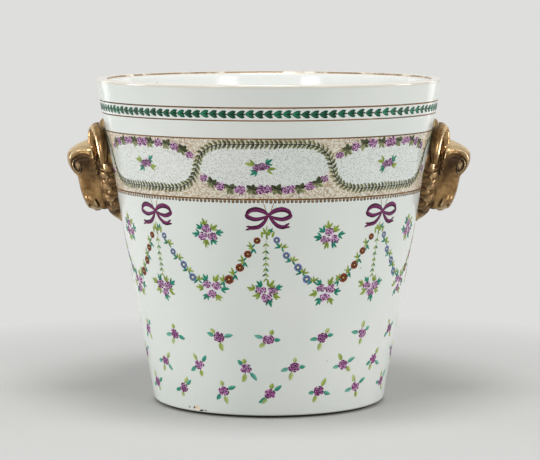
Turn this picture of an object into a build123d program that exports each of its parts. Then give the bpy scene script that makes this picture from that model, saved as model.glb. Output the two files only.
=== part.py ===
from build123d import *
import math
import os

# Cachepot: a straight-sided conical pot with a ram's-head mask luted to each side.
# Frame: Z up from the table, origin at the middle of the foot, masks on the X axis,
# front of the pot towards -Y. Lengths in millimetres, angles in degrees.

# Pot
HEIGHT = 330
RIM_DIAMETER = 351
BASE_DIAMETER = 235
LIP_WIDTH = 13
LIP_OUTER_ROUND = 3.5
LIP_INNER_ROUND = 6
FLOOR_THICKNESS = 12
FLOOR_ROUND = 20
FOOT_HEIGHT = 2.4
FOOT_SETBACK = 4.5
FOOT_WIDTH = 11
FOOT_ROUND = 0.8
FOOT_RECESS = 5
EDGE_ROUND = 3

# Ram's-head mask
MASK_HEIGHT = 104.5
MASK_BOTTOM = 183.5
MASK_REACH = 45
HEAD_WIDTH = 42
COLLAR_WIDTH = 62
COLLAR_REACH = 16
BROW_DIAMETER = 18
BROW_THICKNESS = 6
EYE_DIAMETER = 9.4
EYELID_DIAMETER = 10.8
EYELID_THICKNESS = 2.4
EYE_TURN = 40
BROW_TILT = 20
NOSTRIL_DIAMETER = 4.6
MOUTH_GROOVE = 2
CURL_DIAMETER = 11

# Horns and ears
HORN_SPREAD = 31
HORN_ROOT_DIAMETER = 11
HORN_TIP_DIAMETER = 3
HORN_SECTIONS = 9
HORN_TAPER_POWER = 3.6
EAR_LENGTH = 17
EAR_WIDTH = 11
EAR_THICKNESS = 4.5

# Cross-sections of the head from the muzzle to the crown. Each row holds the height as a share
# of the mask height, the front and the back as shares of the reach, and the width as a share of
# the head width.
HEAD_SHARES = [
    (0.116, 0.58, 0.40, 0.16),
    (0.122, 0.66, 0.34, 0.32),
    (0.135, 0.73, 0.30, 0.43),
    (0.165, 0.78, 0.27, 0.52),
    (0.230, 0.81, 0.25, 0.58),
    (0.330, 0.825, 0.22, 0.59),
    (0.430, 0.835, 0.16, 0.68),
    (0.495, 0.91, 0.10, 0.85),
    (0.550, 0.98, 0.04, 0.95),
    (0.610, 1.00, 0.00, 0.99),
    (0.665, 0.97, 0.00, 0.94),
    (0.715, 0.87, 0.00, 0.82),
    (0.755, 0.70, 0.02, 0.65),
    (0.785, 0.50, 0.06, 0.40),
]

# Cross-sections of the wool collar from its lower to its upper point: height, reach and width
# as shares of the mask height, the collar's reach and the collar's width.
COLLAR_SHARES = [
    (0.000, 0.10, 0.05),
    (0.040, 0.48, 0.22),
    (0.090, 0.80, 0.42),
    (0.180, 0.93, 0.64),
    (0.330, 1.00, 0.84),
    (0.480, 1.00, 0.97),
    (0.600, 0.86, 1.00),
    (0.700, 0.52, 0.88),
    (0.810, 0.36, 0.65),
    (0.910, 0.28, 0.36),
    (1.000, 0.08, 0.04),
]

# Half outline of a head section from the brow line to the nape: share of the way from back to
# front, and share of the half width.
PLAN_SHARES = [(1.0, 0.0), (0.93, 0.44), (0.72, 0.84), (0.42, 1.0), (0.13, 0.74), (0.0, 0.0)]

# Places on the head: height as a share of the mask height, reach as a share of the mask reach,
# and distance from the middle as a share of the head's half width.
BROW_SHARES = (0.595, 0.745, 0.62)
EYE_SHARES = (0.570, 0.765, 0.735)
NOSTRIL_SHARES = (0.170, 0.735, 0.27)
MOUTH_SHARES = [(0.170, 0.48, 0.49), (0.160, 0.62, 0.44), (0.150, 0.745, 0.25), (0.148, 0.775, 0.0)]

# Wool curls in columns: place as a share of the collar's half width, and heights as shares of the
# mask height.
CURL_COLUMN_SHARES = [
    (0.45, (0.14, 0.23, 0.32, 0.41, 0.50, 0.59)),
    (0.77, (0.185, 0.275, 0.365, 0.455, 0.545)),
    (0.97, (0.14, 0.23, 0.32, 0.41, 0.50)),
]
CURL_SMALLEST_SHARE = 0.55

# Middle line of a horn from its root to its tip: shares of the mask height, of the mask reach
# and of the horn spread.
HORN_SHARES = [
    (0.715, 0.330, 0.27),
    (0.804, 0.293, 0.29),
    (0.876, 0.249, 0.39),
    (0.905, 0.204, 0.565),
    (0.876, 0.169, 0.775),
    (0.785, 0.147, 0.915),
    (0.670, 0.151, 0.98),
    (0.582, 0.169, 1.0),
]

# Ear: root place as for the head, direction towards the tip, and sections along it as shares of
# the length, the width and the thickness.
EAR_ROOT_SHARES = (0.690, 0.46, 0.66)
EAR_DIRECTION = (-0.10, 1.0, -0.30)
EAR_SECTION_SHARES = [
    (0.00, 0.50, 1.00),
    (0.30, 0.90, 1.00),
    (0.55, 1.00, 0.90),
    (0.80, 0.72, 0.70),
    (1.00, 0.14, 0.30),
]


def wall_radius(height):
    """Outer radius of the wall at a height above the table."""
    rise_share = (height - FOOT_HEIGHT) / (HEIGHT - FOOT_HEIGHT)
    return (BASE_DIAMETER + (RIM_DIAMETER - BASE_DIAMETER) * rise_share) / 2


def at_wall(height_share, reach, side):
    """Point of the right-hand mask at a height, a reach out from the wall and a place sideways."""
    height = MASK_BOTTOM + MASK_HEIGHT * height_share
    return Vector(wall_radius(height) + reach, side, height)


def on_head(place_shares, hand):
    """Point of the head from its three shares; hand is -1 for the front half and 1 for the back."""
    height_share, reach_share, side_share = place_shares
    return at_wall(height_share, MASK_REACH * reach_share, hand * HEAD_WIDTH * side_share / 2)


def knob(diameter):
    """Ball laid with its poles along the reach, so that they lie inside the form it stands on."""
    return Rot(0, 90, 0) * Sphere(diameter / 2)


def make_pot():
    """The pot turned about its axis: foot ring, conical wall, rounded lip and flat floor."""
    rim = RIM_DIAMETER / 2
    base = BASE_DIAMETER / 2
    foot_outer = base - FOOT_SETBACK
    foot_inner = foot_outer - FOOT_WIDTH
    floor_top = FOOT_RECESS + FLOOR_THICKNESS
    inner_floor = wall_radius(floor_top) - LIP_WIDTH
    foot_corner = (foot_outer, 0, 0)
    edge_corner = (base, 0, FOOT_HEIGHT)
    outer_lip = (rim, 0, HEIGHT)
    inner_lip = (rim - LIP_WIDTH, 0, HEIGHT)
    floor_corner = (inner_floor, 0, floor_top)
    ring_corner = (foot_inner, 0, 0)
    outline = Polyline(
        (0, 0, FOOT_RECESS),
        (foot_inner, 0, FOOT_RECESS),
        ring_corner,
        foot_corner,
        (foot_outer, 0, FOOT_HEIGHT),
        edge_corner,
        outer_lip,
        inner_lip,
        floor_corner,
        (0, 0, floor_top),
        close=True,
    )
    profile = make_face(outline)
    rounds = [
        (ring_corner, FOOT_ROUND),
        (foot_corner, FOOT_ROUND),
        (edge_corner, EDGE_ROUND),
        (outer_lip, LIP_OUTER_ROUND),
        (inner_lip, LIP_INNER_ROUND),
        (floor_corner, FLOOR_ROUND),
    ]
    for corner, radius in rounds:
        vertex = profile.vertices().sort_by_distance(corner)[0]
        profile = fillet(vertex, radius)
    return revolve(profile, Axis.Z)


def make_wall_cone():
    """The full cone inside the wall's outer face, which trims the back of the masks."""
    base_radius = wall_radius(0)
    rim_radius = wall_radius(HEIGHT)
    return Cone(base_radius, rim_radius, HEIGHT, align=(Align.CENTER, Align.CENTER, Align.MIN))


def head_section(height_share, front_share, back_share, width_share):
    """Closed outline of the head at one height."""
    front = MASK_REACH * front_share
    back = MASK_REACH * back_share
    half_width = HEAD_WIDTH * width_share / 2
    half = [(back + (front - back) * along, half_width * across) for along, across in PLAN_SHARES]
    mirrored = [(reach, -side) for reach, side in reversed(half[1:-1])]
    points = [at_wall(height_share, reach, side) for reach, side in half + mirrored]
    return make_face(Spline(*points, periodic=True))


def collar_size(height_share):
    """Reach and half width of the collar at a height, read between the rows of its table."""
    rows = zip(COLLAR_SHARES, COLLAR_SHARES[1:])
    low, high = next(pair for pair in rows if height_share <= pair[1][0])
    mix = (height_share - low[0]) / (high[0] - low[0])
    reach_share = low[1] + (high[1] - low[1]) * mix
    width_share = low[2] + (high[2] - low[2]) * mix
    return COLLAR_REACH * reach_share, COLLAR_WIDTH * width_share / 2


def make_collar():
    """The pointed pad of wool behind the head, with rows of round curls."""
    sections = []
    for height_share, _, _ in COLLAR_SHARES:
        reach, half_width = collar_size(height_share)
        sections.append(Plane(at_wall(height_share, 0, 0)) * Ellipse(reach, half_width))
    curls = []
    for side_share, height_shares in CURL_COLUMN_SHARES:
        for height_share in height_shares:
            reach, half_width = collar_size(height_share)
            fullness = max(CURL_SMALLEST_SHARE, 2 * half_width / COLLAR_WIDTH)
            curl_reach = reach * math.sqrt(1 - side_share**2)
            for hand in (-1, 1):
                centre = at_wall(height_share, curl_reach, hand * half_width * side_share)
                curls.append(Pos(*centre) * knob(CURL_DIAMETER * fullness))
    return loft(sections) + curls


def make_eye(hand):
    """Eyeball, the ring of its lids and the round brow above it, turned outwards and forwards."""
    turn = math.radians(EYE_TURN)
    outwards = (math.sin(turn), hand * math.cos(turn), 0)
    eye_plane = Plane(on_head(EYE_SHARES, hand), z_dir=outwards)
    tilted = (outwards[0], outwards[1], -math.tan(math.radians(BROW_TILT)))
    brow_plane = Plane(on_head(BROW_SHARES, hand), z_dir=tilted)
    return [
        eye_plane * Sphere(EYE_DIAMETER / 2),
        eye_plane * Torus(EYELID_DIAMETER / 2, EYELID_THICKNESS / 2),
        brow_plane * Torus(BROW_DIAMETER / 2, BROW_THICKNESS / 2),
    ]


def make_mouth():
    """Groove along the lips, from one corner of the mouth round the nose to the other."""
    back_lip = [on_head(shares, 1) for shares in MOUTH_SHARES]
    front_lip = [on_head(shares, -1) for shares in reversed(MOUTH_SHARES[:-1])]
    lip_line = Spline(*back_lip, *front_lip)
    return sweep(Plane(lip_line @ 0, z_dir=lip_line % 0) * Circle(MOUTH_GROOVE / 2), path=lip_line)


def make_mask(wall_cone):
    """Ram's head and collar as one moulding, its back trimmed to the wall."""
    head = loft([head_section(*row) for row in HEAD_SHARES])
    features = []
    nostrils = []
    for hand in (-1, 1):
        features += make_eye(hand)
        nostrils.append(Pos(*on_head(NOSTRIL_SHARES, hand)) * knob(NOSTRIL_DIAMETER))
    return make_collar() + head + features - nostrils - make_mouth() - wall_cone


def make_horn(hand):
    """Tapering horn that rises from the crown, arches over and comes down beside the head."""
    points = [
        at_wall(height_share, MASK_REACH * reach_share, HORN_SPREAD * side_share)
        for height_share, reach_share, side_share in HORN_SHARES
    ]
    middle = Spline(*points)
    sections = []
    for index in range(HORN_SECTIONS):
        along = index / (HORN_SECTIONS - 1)
        diameter = HORN_ROOT_DIAMETER + (HORN_TIP_DIAMETER - HORN_ROOT_DIAMETER) * along**HORN_TAPER_POWER
        section_plane = Plane(middle @ along, x_dir=(1, 0, 0), z_dir=middle % along)
        sections.append(section_plane * Circle(diameter / 2))
    horn = loft(sections)
    return horn if hand > 0 else mirror(horn, about=Plane.XZ)


def make_ear(hand):
    """Leaf-shaped ear that stands out from the side of the head."""
    reach, side, drop = EAR_DIRECTION
    ear_plane = Plane(on_head(EAR_ROOT_SHARES, hand), x_dir=(1, 0, 0), z_dir=(reach, hand * side, drop))
    sections = [
        ear_plane * Pos(0, 0, EAR_LENGTH * along) * Ellipse(EAR_THICKNESS * thick / 2, EAR_WIDTH * wide / 2)
        for along, wide, thick in EAR_SECTION_SHARES
    ]
    return loft(sections)


def on_side(solid, side):
    """The right-hand piece as it is, or turned half round for the left-hand mask."""
    return solid if side == "right" else Rot(0, 0, 180) * solid


def main():
    pot = make_pot()
    wall_cone = make_wall_cone()
    mask = make_mask(wall_cone)
    pieces = {"pot_body": pot}
    for side in ("left", "right"):
        pieces[f"{side}_ram_mask"] = on_side(mask, side)
        for view, hand in (("front", -1), ("back", 1)):
            turned = hand if side == "right" else -hand
            horn = make_horn(turned) - mask
            ear = make_ear(turned) - mask - horn
            pieces[f"{side}_{view}_horn"] = on_side(horn, side)
            pieces[f"{side}_{view}_ear"] = on_side(ear, side)
    os.makedirs("parts", exist_ok=True)
    for name, solid in pieces.items():
        export_step(solid, f"parts/{name}.step")


main()
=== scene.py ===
import math
import random

import bpy
import numpy as np
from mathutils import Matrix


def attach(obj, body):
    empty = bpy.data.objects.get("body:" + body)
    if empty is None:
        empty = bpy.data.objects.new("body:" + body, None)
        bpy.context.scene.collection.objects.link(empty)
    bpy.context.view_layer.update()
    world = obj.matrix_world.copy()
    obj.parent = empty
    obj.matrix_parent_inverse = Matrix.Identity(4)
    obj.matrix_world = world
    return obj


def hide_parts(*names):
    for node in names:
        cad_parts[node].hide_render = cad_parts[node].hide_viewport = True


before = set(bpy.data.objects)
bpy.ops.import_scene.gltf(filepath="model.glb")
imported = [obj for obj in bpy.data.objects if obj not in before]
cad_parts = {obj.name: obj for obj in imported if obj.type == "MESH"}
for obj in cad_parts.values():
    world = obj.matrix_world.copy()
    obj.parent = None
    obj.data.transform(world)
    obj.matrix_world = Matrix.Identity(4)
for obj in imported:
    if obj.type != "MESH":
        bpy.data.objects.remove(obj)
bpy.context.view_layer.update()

MM = 0.001

# Pot, in millimetres
HEIGHT = 330.0
RIM_RADIUS = 175.5
BASE_RADIUS = 117.5
LIP_WIDTH = 13.0
LIP_ROUNDING = 6.0
LIP_ROUND_INSET = 5.0
FLOOR_TOP = 17.0
FOOT_HEIGHT = 2.4
FOOT_INNER = 102.0
FOOT_OUTER = 113.0
UNDERSIDE = 5.0
SLOPE = (RIM_RADIUS - BASE_RADIUS) / (HEIGHT - FOOT_HEIGHT)
LEAN = math.atan(SLOPE)
POT_COLUMNS = 320
RING_COLUMNS = 360

# Chip at the foot: degrees from the front, then millimetres
CHIP_ANGLE = -37.1
CHIP_HEIGHT = 6.6
CHIP_HALF_WIDTH = 3.7
CHIP_HALF_HEIGHT = 2.6
CHIP_DEPTH = 0.75

# Painted bands: heights on the wall, widths and relief
LINE_HEIGHTS = (308.1, 295.8, 278.3, 219.6)
LINE_WIDTHS = (1.6, 1.4, 1.4, 1.7)
LINE_LIFT = 0.1
GUILLOCHE_MIDDLE = 250.8
BOW_HEIGHT = 204.2

# Height where the reach of the garlands is taken
GARLAND_HEIGHT = 150.0

# Places round the pot, in degrees from the front to the right
BAYS = 8
BAY = 360 / BAYS
BOW_ANGLES = (-46.5, -0.1, 46.6, 90.0, 133.4, 180.0, 226.6, 270.0)
MASK_ANGLES = (90.0, 270.0)
CROSSINGS = (-73.5, -25.5, 22.2, 71.5, 108.5, 156.5, 204.5, 253.0, 286.5)

# The two strands of the guilloche: swing off its middle, and degrees that each takes to swing out
LAUREL_STRAND = (22.3, 11.0)
ROSE_STRAND = (-21.6, 16.5)

# Ram's-head mask, in millimetres
MASK_BOTTOM = 183.5


def srgb(red, green, blue):
    """Linear colour from 0 to 255 values."""
    out = []
    for value in (red, green, blue):
        value = value / 255
        out.append(value / 12.92 if value <= 0.04045 else ((value + 0.055) / 1.055) ** 2.4)
    return (*out, 1.0)


def compass(degrees):
    """Cosine and sine of an angle."""
    return math.cos(math.radians(degrees)), math.sin(math.radians(degrees))


def unit(vector):
    """The vector, or each row of vectors, at length 1."""
    return vector / np.linalg.norm(vector, axis=-1, keepdims=True)


def ramp_up(values, start, width):
    """From 0 at start to 1 a width further on."""
    return np.clip((values - start) / width, 0, 1)


def bell(values, width):
    """1 where values are 0, falling away to each side."""
    return np.exp(-((values / width) ** 2))


def wrapped(angle):
    """The same angle within half a turn of 0."""
    return (angle + math.pi) % (2 * math.pi) - math.pi


def lengths_along(points):
    """Length of a run of points up to each of them."""
    return np.concatenate(([0], np.cumsum(np.linalg.norm(np.diff(points, axis=0), axis=1))))


def curve(points, count):
    """Smooth open curve through points."""
    points = np.asarray(points, dtype=float)
    padded = np.vstack((2 * points[0] - points[1], points, 2 * points[-1] - points[-2]))
    out = []
    for step in np.linspace(0, len(points) - 1, count):
        index = min(int(step), len(points) - 2)
        share = step - index
        before, start, end, after = padded[index:index + 4]
        bend = 2 * before - 5 * start + 4 * end - after
        twist = 3 * start - before - 3 * end + after
        out.append(0.5 * (2 * start + (end - before) * share + bend * share**2 + twist * share**3))
    return np.array(out)


def wall_radius(height):
    return BASE_RADIUS + SLOPE * (height - FOOT_HEIGHT)


def on_wall(theta, height, lift):
    """Points lifted off the outer wall. theta is in radians from the front, to the right."""
    radius = wall_radius(height) + lift * math.cos(LEAN)
    up = height - lift * math.sin(LEAN)
    return np.stack((radius * np.sin(theta), -radius * np.cos(theta), up), axis=-1)


# Materials

BACKDROP = srgb(222, 222, 220)


class Nodes:
    """Node tree of a material or of the world, with short ways to add to it."""

    def __init__(self, owner):
        owner.use_nodes = True
        self.owner = owner
        self.tree = owner.node_tree

    def put(self, socket, value):
        """Links a socket to an input, or sets a constant on it."""
        if isinstance(value, bpy.types.NodeSocket):
            self.tree.links.new(value, socket)
        else:
            socket.default_value = value

    def fill(self, node, **inputs):
        """Puts values to inputs that are named with _ for a space."""
        for key, value in inputs.items():
            self.put(node.inputs[key.replace("_", " ")], value)
        return node

    def add(self, kind, **inputs):
        return self.fill(self.tree.nodes.new("ShaderNode" + kind), **inputs)

    def mix(self, factor, first, second):
        """Colour between two; each of the three may be a socket or a constant."""
        node = self.add("Mix")
        node.data_type = "RGBA"
        for index, value in ((0, factor), (6, first), (7, second)):
            self.put(node.inputs[index], value)
        return node.outputs[2]

    def combine(self, first, second, operation="MULTIPLY"):
        """Number worked out from two others."""
        node = self.add("Math")
        node.operation = operation
        for index, value in enumerate((first, second)):
            self.put(node.inputs[index], value)
        return node.outputs[0]

    def ramp(self, source, low, high, start=0.0, end=1.0):
        """Maps a value range to another, clamped."""
        node = self.add("MapRange", Value=source, From_Min=low, From_Max=high, To_Min=start, To_Max=end)
        return node.outputs["Result"]

    def backdrop_rays(self):
        """1 for the rays that see the plain backdrop: straight on, in gloss and through glass."""
        seen = self.add("LightPath").outputs
        rays = self.combine(seen["Is Camera Ray"], seen["Is Glossy Ray"], "MAXIMUM")
        return self.combine(rays, seen["Is Transmission Ray"], "MAXIMUM")

    def show_backdrop(self, surface, kind, share, output):
        """Puts the plain backdrop, a shader of this kind, over a share of the surface."""
        plain = self.add(kind, Color=BACKDROP, Strength=1.0)
        blend = self.add("MixShader")
        for index, value in enumerate((share, surface.outputs[0], plain.outputs[0])):
            self.put(blend.inputs[index], value)
        self.fill(self.tree.nodes[output], Surface=blend.outputs[0])


class Finish(Nodes):
    """Procedural material that follows the object's own coordinates."""

    def __init__(self, name):
        super().__init__(bpy.data.materials.new(name))
        self.shader = self.tree.nodes["Principled BSDF"]
        self.place = self.add("TexCoord").outputs["Object"]

    def noise(self, scale, detail=2.0, roughness=0.5):
        node = self.add("TexNoise", Vector=self.place, Scale=scale, Detail=detail, Roughness=roughness)
        return node.outputs["Fac"]

    def cells(self, scale):
        return self.add("TexVoronoi", Vector=self.place, Scale=scale).outputs

    def mark(self, name, output="Fac"):
        """What a mesh says at each of its points under this name."""
        node = self.add("Attribute")
        node.attribute_name = name
        return node.outputs[output]

    def bump(self, source, distance, strength):
        return self.add("Bump", Height=source, Distance=distance, Strength=strength).outputs["Normal"]

    def dress(self, **inputs):
        """Fills the surface shader and gives the material."""
        self.fill(self.shader, **inputs)
        return self.owner


def glaze_material():
    """Greyish hard-paste glaze with kiln specks, stippled grounds and the chipped body. The inside is glazed
    lighter as painted light, and the recessed foot is near black as painted shade.
    """
    nodes = Finish("porcelain_glaze")
    clouds = nodes.ramp(nodes.noise(7, 3), 0.35, 0.65)
    colour = nodes.mix(clouds, srgb(215, 221, 216), srgb(223, 226, 221))
    # Painted light: the inside is a lighter glaze, for the light that falls into the pot
    colour = nodes.mix(nodes.mark("inside"), colour, srgb(226, 228, 225))
    colour = nodes.mix(nodes.mark("lip"), colour, srgb(212, 206, 195))
    pits = nodes.cells(55)
    rare = nodes.ramp(pits["Color"], 0.56, 0.62)
    pit = nodes.combine(nodes.ramp(pits["Distance"], 0.05, 0.02), rare)
    colour = nodes.mix(pit, colour, srgb(122, 118, 110))
    stipple = nodes.ramp(nodes.cells(880)["Distance"], 0.34, 0.22)
    stipple = nodes.combine(stipple, nodes.mark("ground_in"))
    colour = nodes.mix(nodes.combine(stipple, 0.9), colour, srgb(94, 90, 80))
    ground = nodes.mark("ground_out")
    colour = nodes.mix(nodes.combine(ground, 0.75), colour, srgb(220, 211, 192))
    worms = nodes.combine(nodes.noise(360, 1.5), 0.5, "SUBTRACT")
    worms = nodes.ramp(nodes.combine(worms, 0.0, "ABSOLUTE"), 0.085, 0.025)
    tan = nodes.mix(nodes.ramp(nodes.noise(30), 0.4, 0.6), srgb(172, 142, 104), srgb(140, 114, 82))
    colour = nodes.mix(nodes.combine(nodes.combine(worms, ground), 0.8), colour, tan)
    chip = nodes.mark("chip")
    grain = nodes.mix(nodes.noise(900, 3), srgb(244, 228, 204), srgb(222, 192, 158))
    colour = nodes.mix(chip, colour, grain)
    # Painted shade: near black on the recessed foot under the wall's edge
    colour = nodes.mix(nodes.mark("foot"), colour, srgb(52, 44, 36))
    gloss = nodes.ramp(nodes.noise(26, 3), 0.3, 0.7, 0.10, 0.17)
    rough = nodes.combine(gloss, nodes.combine(chip, 0.6), "ADD")
    return nodes.dress(Base_Color=colour, Roughness=rough, Normal=nodes.bump(nodes.noise(38), 0.0004, 0.35))


def enamel_material():
    """Overglaze colours: thin, slightly uneven washes with a soft gloss."""
    nodes = Finish("overglaze_enamel")
    paint = nodes.mark("paint", "Color")
    wash = nodes.ramp(nodes.noise(420, 3), 0.35, 0.75)
    colour = nodes.mix(wash, paint, nodes.mix(0.02, paint, srgb(220, 224, 219)))
    rough = nodes.ramp(nodes.noise(160), 0.3, 0.7, 0.28, 0.42)
    grain = nodes.bump(nodes.noise(900), 0.00008, 0.5)
    return nodes.dress(Base_Color=colour, Roughness=rough, Specular_IOR_Level=0.12, Normal=grain)


def line_material():
    """Brown-gold bands, thin and rubbed in places."""
    nodes = Finish("brown_gold_line")
    tone = nodes.ramp(nodes.noise(14, 4), 0.35, 0.65)
    colour = nodes.mix(tone, srgb(78, 50, 12), srgb(128, 86, 28))
    lightened = nodes.ramp(nodes.noise(120, 4), 0.60, 0.74)
    colour = nodes.mix(nodes.combine(lightened, 0.5), colour, srgb(196, 172, 132))
    rough = nodes.ramp(nodes.noise(60), 0.3, 0.7, 0.28, 0.45)
    grain = nodes.bump(nodes.noise(700), 0.0001, 0.5)
    return nodes.dress(Base_Color=colour, Roughness=rough, Specular_IOR_Level=0.2, Normal=grain)


def rim_material():
    """Gold on the lip's inner edge, worn through to the glaze."""
    nodes = Finish("worn_rim_gold")
    worn = nodes.ramp(nodes.noise(34, 5, 0.65), 0.50, 0.62)
    tone = nodes.mix(nodes.noise(90, 3), srgb(122, 96, 64), srgb(164, 134, 98))
    colour = nodes.mix(worn, tone, srgb(236, 228, 210))
    metal = nodes.ramp(worn, 0.0, 1.0, 0.3, 0.0)
    rough = nodes.ramp(nodes.noise(60), 0.3, 0.7, 0.22, 0.4)
    grain = nodes.bump(nodes.noise(500), 0.0001, 0.5)
    return nodes.dress(Base_Color=colour, Metallic=metal, Roughness=rough, Normal=grain)


def gilt_material():
    """Burnished gilding over the modelled heads, with painted highlights in pale gold on raised parts and
    painted shade in dark brown in the recesses.
    """
    nodes = Finish("burnished_gilding")
    patches = nodes.ramp(nodes.noise(95, 6, 0.62), 0.34, 0.66)
    gold = nodes.mix(patches, srgb(116, 84, 46), srgb(186, 150, 100))
    stain = nodes.ramp(nodes.noise(24, 4, 0.6), 0.50, 0.72)
    gold = nodes.mix(nodes.combine(stain, 0.7), gold, srgb(94, 63, 31))
    flecks = nodes.ramp(nodes.noise(260, 5, 0.6), 0.48, 0.66)
    gold = nodes.mix(nodes.combine(flecks, 0.38), gold, srgb(88, 58, 28))
    # Painted highlight: pale gold where the mesh marks it
    gold = nodes.mix(nodes.combine(nodes.mark("painted_highlight"), 0.85), gold, srgb(232, 208, 164))
    # Painted shade: dark brown where the mesh marks it, which also makes those parts rougher
    painted_shade = nodes.mark("painted_shade")
    colour = nodes.mix(painted_shade, gold, srgb(46, 27, 11))
    rough = nodes.ramp(nodes.noise(130, 4), 0.3, 0.7, 0.15, 0.30)
    rough = nodes.combine(rough, nodes.combine(painted_shade, 0.3), "ADD")
    grain = nodes.bump(nodes.noise(300, 3, 0.55), 0.0002, 0.3)
    return nodes.dress(Base_Color=colour, Metallic=0.72, Roughness=rough, Normal=grain)


def floor_material():
    """Pale matt floor that takes the pot's shadow and runs out into the backdrop."""
    nodes = Finish("pale_floor")
    colour = nodes.mix(nodes.noise(3), srgb(200, 200, 198), srgb(203, 203, 201))
    length = nodes.add("VectorMath")
    length.operation = "LENGTH"
    nodes.put(length.inputs[0], nodes.place)
    far = nodes.ramp(length.outputs["Value"], 0.30, 0.62)
    share = nodes.combine(far, nodes.backdrop_rays())
    nodes.show_backdrop(nodes.shader, "Emission", share, "Material Output")
    return nodes.dress(Base_Color=colour, Roughness=0.7, Specular_IOR_Level=0.2)


def make_piece(name, verts, faces, material, uv=None, marks=None):
    """Mesh piece in millimetres that rides on the pot. uv gives two numbers for each loop, and each of
    marks a number or a colour for each point."""
    mesh = bpy.data.meshes.new(name)
    mesh.from_pydata((np.asarray(verts) * MM).tolist(), [], faces)
    mesh.materials.append(material)
    mesh.shade_smooth()
    if uv is not None:
        layer = mesh.uv_layers.new(name="OFBake")
        layer.uv.foreach_set("vector", np.asarray(uv, dtype=np.float32).ravel())
    for key, values in (marks or {}).items():
        values = np.asarray(values, dtype=np.float32)
        kind, field = ("FLOAT_COLOR", "color") if values.ndim == 2 else ("FLOAT", "value")
        mesh.attributes.new(key, kind, "POINT").data.foreach_set(field, values.ravel())
    piece = bpy.data.objects.new(name, mesh)
    bpy.context.collection.objects.link(piece)
    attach(piece, "root")
    return piece


# Pot

def rounded(corners):
    """Points of an outline whose corners are (radius, height, rounding)."""
    out = []
    for index, (across, up, rounding) in enumerate(corners):
        corner = np.array((across, up), dtype=float)
        if not rounding:
            out.append(corner)
            continue
        before = unit(np.array(corners[index - 1][:2], dtype=float) - corner)
        after = unit(np.array(corners[index + 1][:2], dtype=float) - corner)
        half = math.acos(np.dot(before, after)) / 2
        middle = corner + unit(before + after) * rounding / math.sin(half)
        reach = rounding / math.tan(half)
        first = corner + before * reach - middle
        last = corner + after * reach - middle
        sweep = math.pi - 2 * half
        for step in np.linspace(0, 1, 9):
            arc = first * math.sin((1 - step) * sweep) + last * math.sin(step * sweep)
            out.append(middle + arc / math.sin(sweep))
    return np.array(out)


def spread(points, spacing):
    """Adds points on the long runs; spacing(radius, height) is the most between two points."""
    out = [points[0]]
    for first, last in zip(points, points[1:]):
        length = np.linalg.norm(last - first)
        position = 0.0
        while True:
            here = first + (last - first) * position / max(length, 1e-9)
            position += spacing(*here)
            if position > length - spacing(*here) * 0.4:
                break
            out.append(first + (last - first) * position / length)
        out.append(last)
    return np.array(out)


def pot_profile():
    """Half section from the middle of the underside, round the wall, to the middle of the floor."""
    corners = [
        (0, UNDERSIDE, 0),
        (FOOT_INNER, UNDERSIDE, 0),
        (FOOT_INNER, 0, 0.8),
        (FOOT_OUTER, 0, 0.8),
        (FOOT_OUTER, FOOT_HEIGHT, 0),
        (BASE_RADIUS, FOOT_HEIGHT, 3),
        (RIM_RADIUS, HEIGHT, 2.2),
        (RIM_RADIUS - LIP_WIDTH, HEIGHT, LIP_ROUNDING),
        (wall_radius(FLOOR_TOP) - LIP_WIDTH, FLOOR_TOP, 20),
        (0, FLOOR_TOP, 0),
    ]

    def spacing(across, up):
        """Close at the foot and where the guilloche ends, wide elsewhere."""
        if across < FOOT_INNER:
            return 16
        if up < 12:
            return 0.7
        near_line = min(abs(up - height) for height in LINE_HEIGHTS[2:]) < 5
        outside = across > wall_radius(up) - 4
        return 0.85 if near_line and outside else 4.2

    return spread(rounded(corners), spacing)


def pot_angles():
    """Angles of the pot's columns, closer together at the chip."""
    theta = list(np.radians(np.linspace(-180, 180, POT_COLUMNS + 1)[:-1]))
    theta += list(np.radians(np.arange(CHIP_ANGLE - 6, CHIP_ANGLE + 6, 0.21)))
    return np.array(sorted(set(np.round(theta, 6))))


def foot_chip(radius, angle, height):
    """Share of the chip, from 0 to 1, and its depth."""
    along = (angle - math.radians(CHIP_ANGLE)) * radius
    up = height - CHIP_HEIGHT
    ragged = 0.35 * np.sin(along * 2.3) + 0.25 * np.cos(height * 3.1 + along)
    far = np.hypot((along + 0.3 * up) / CHIP_HALF_WIDTH, up / CHIP_HALF_HEIGHT) + 0.18 * ragged
    return ramp_up(far, 1.0, -0.25), CHIP_DEPTH + 0.2 * ragged


def strand_swing(theta, reach):
    """From 0 at a crossing of the two strands to 1 along a medallion, positive over the front one."""
    degrees = (np.degrees(theta) - CROSSINGS[0]) % 360 + CROSSINGS[0]
    out = np.zeros_like(degrees)
    for index, (start, end) in enumerate(zip(CROSSINGS, CROSSINGS[1:])):
        near = np.minimum(degrees - start, end - degrees)
        arch = np.sqrt(1 - (1 - ramp_up(near, 0, reach)) ** 2)
        out = np.where(near >= 0, arch * (1 if index % 2 else -1), out)
    return out


def strand_height(theta, strand):
    """Height of a strand on the wall, with its crossings eased."""
    swing, reach = strand
    offsets = np.radians(np.linspace(-1.5, 1.5, 9))
    eased_swing = np.mean([strand_swing(theta + offset, reach) for offset in offsets], axis=0)
    return GUILLOCHE_MIDDLE + swing * eased_swing


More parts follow.
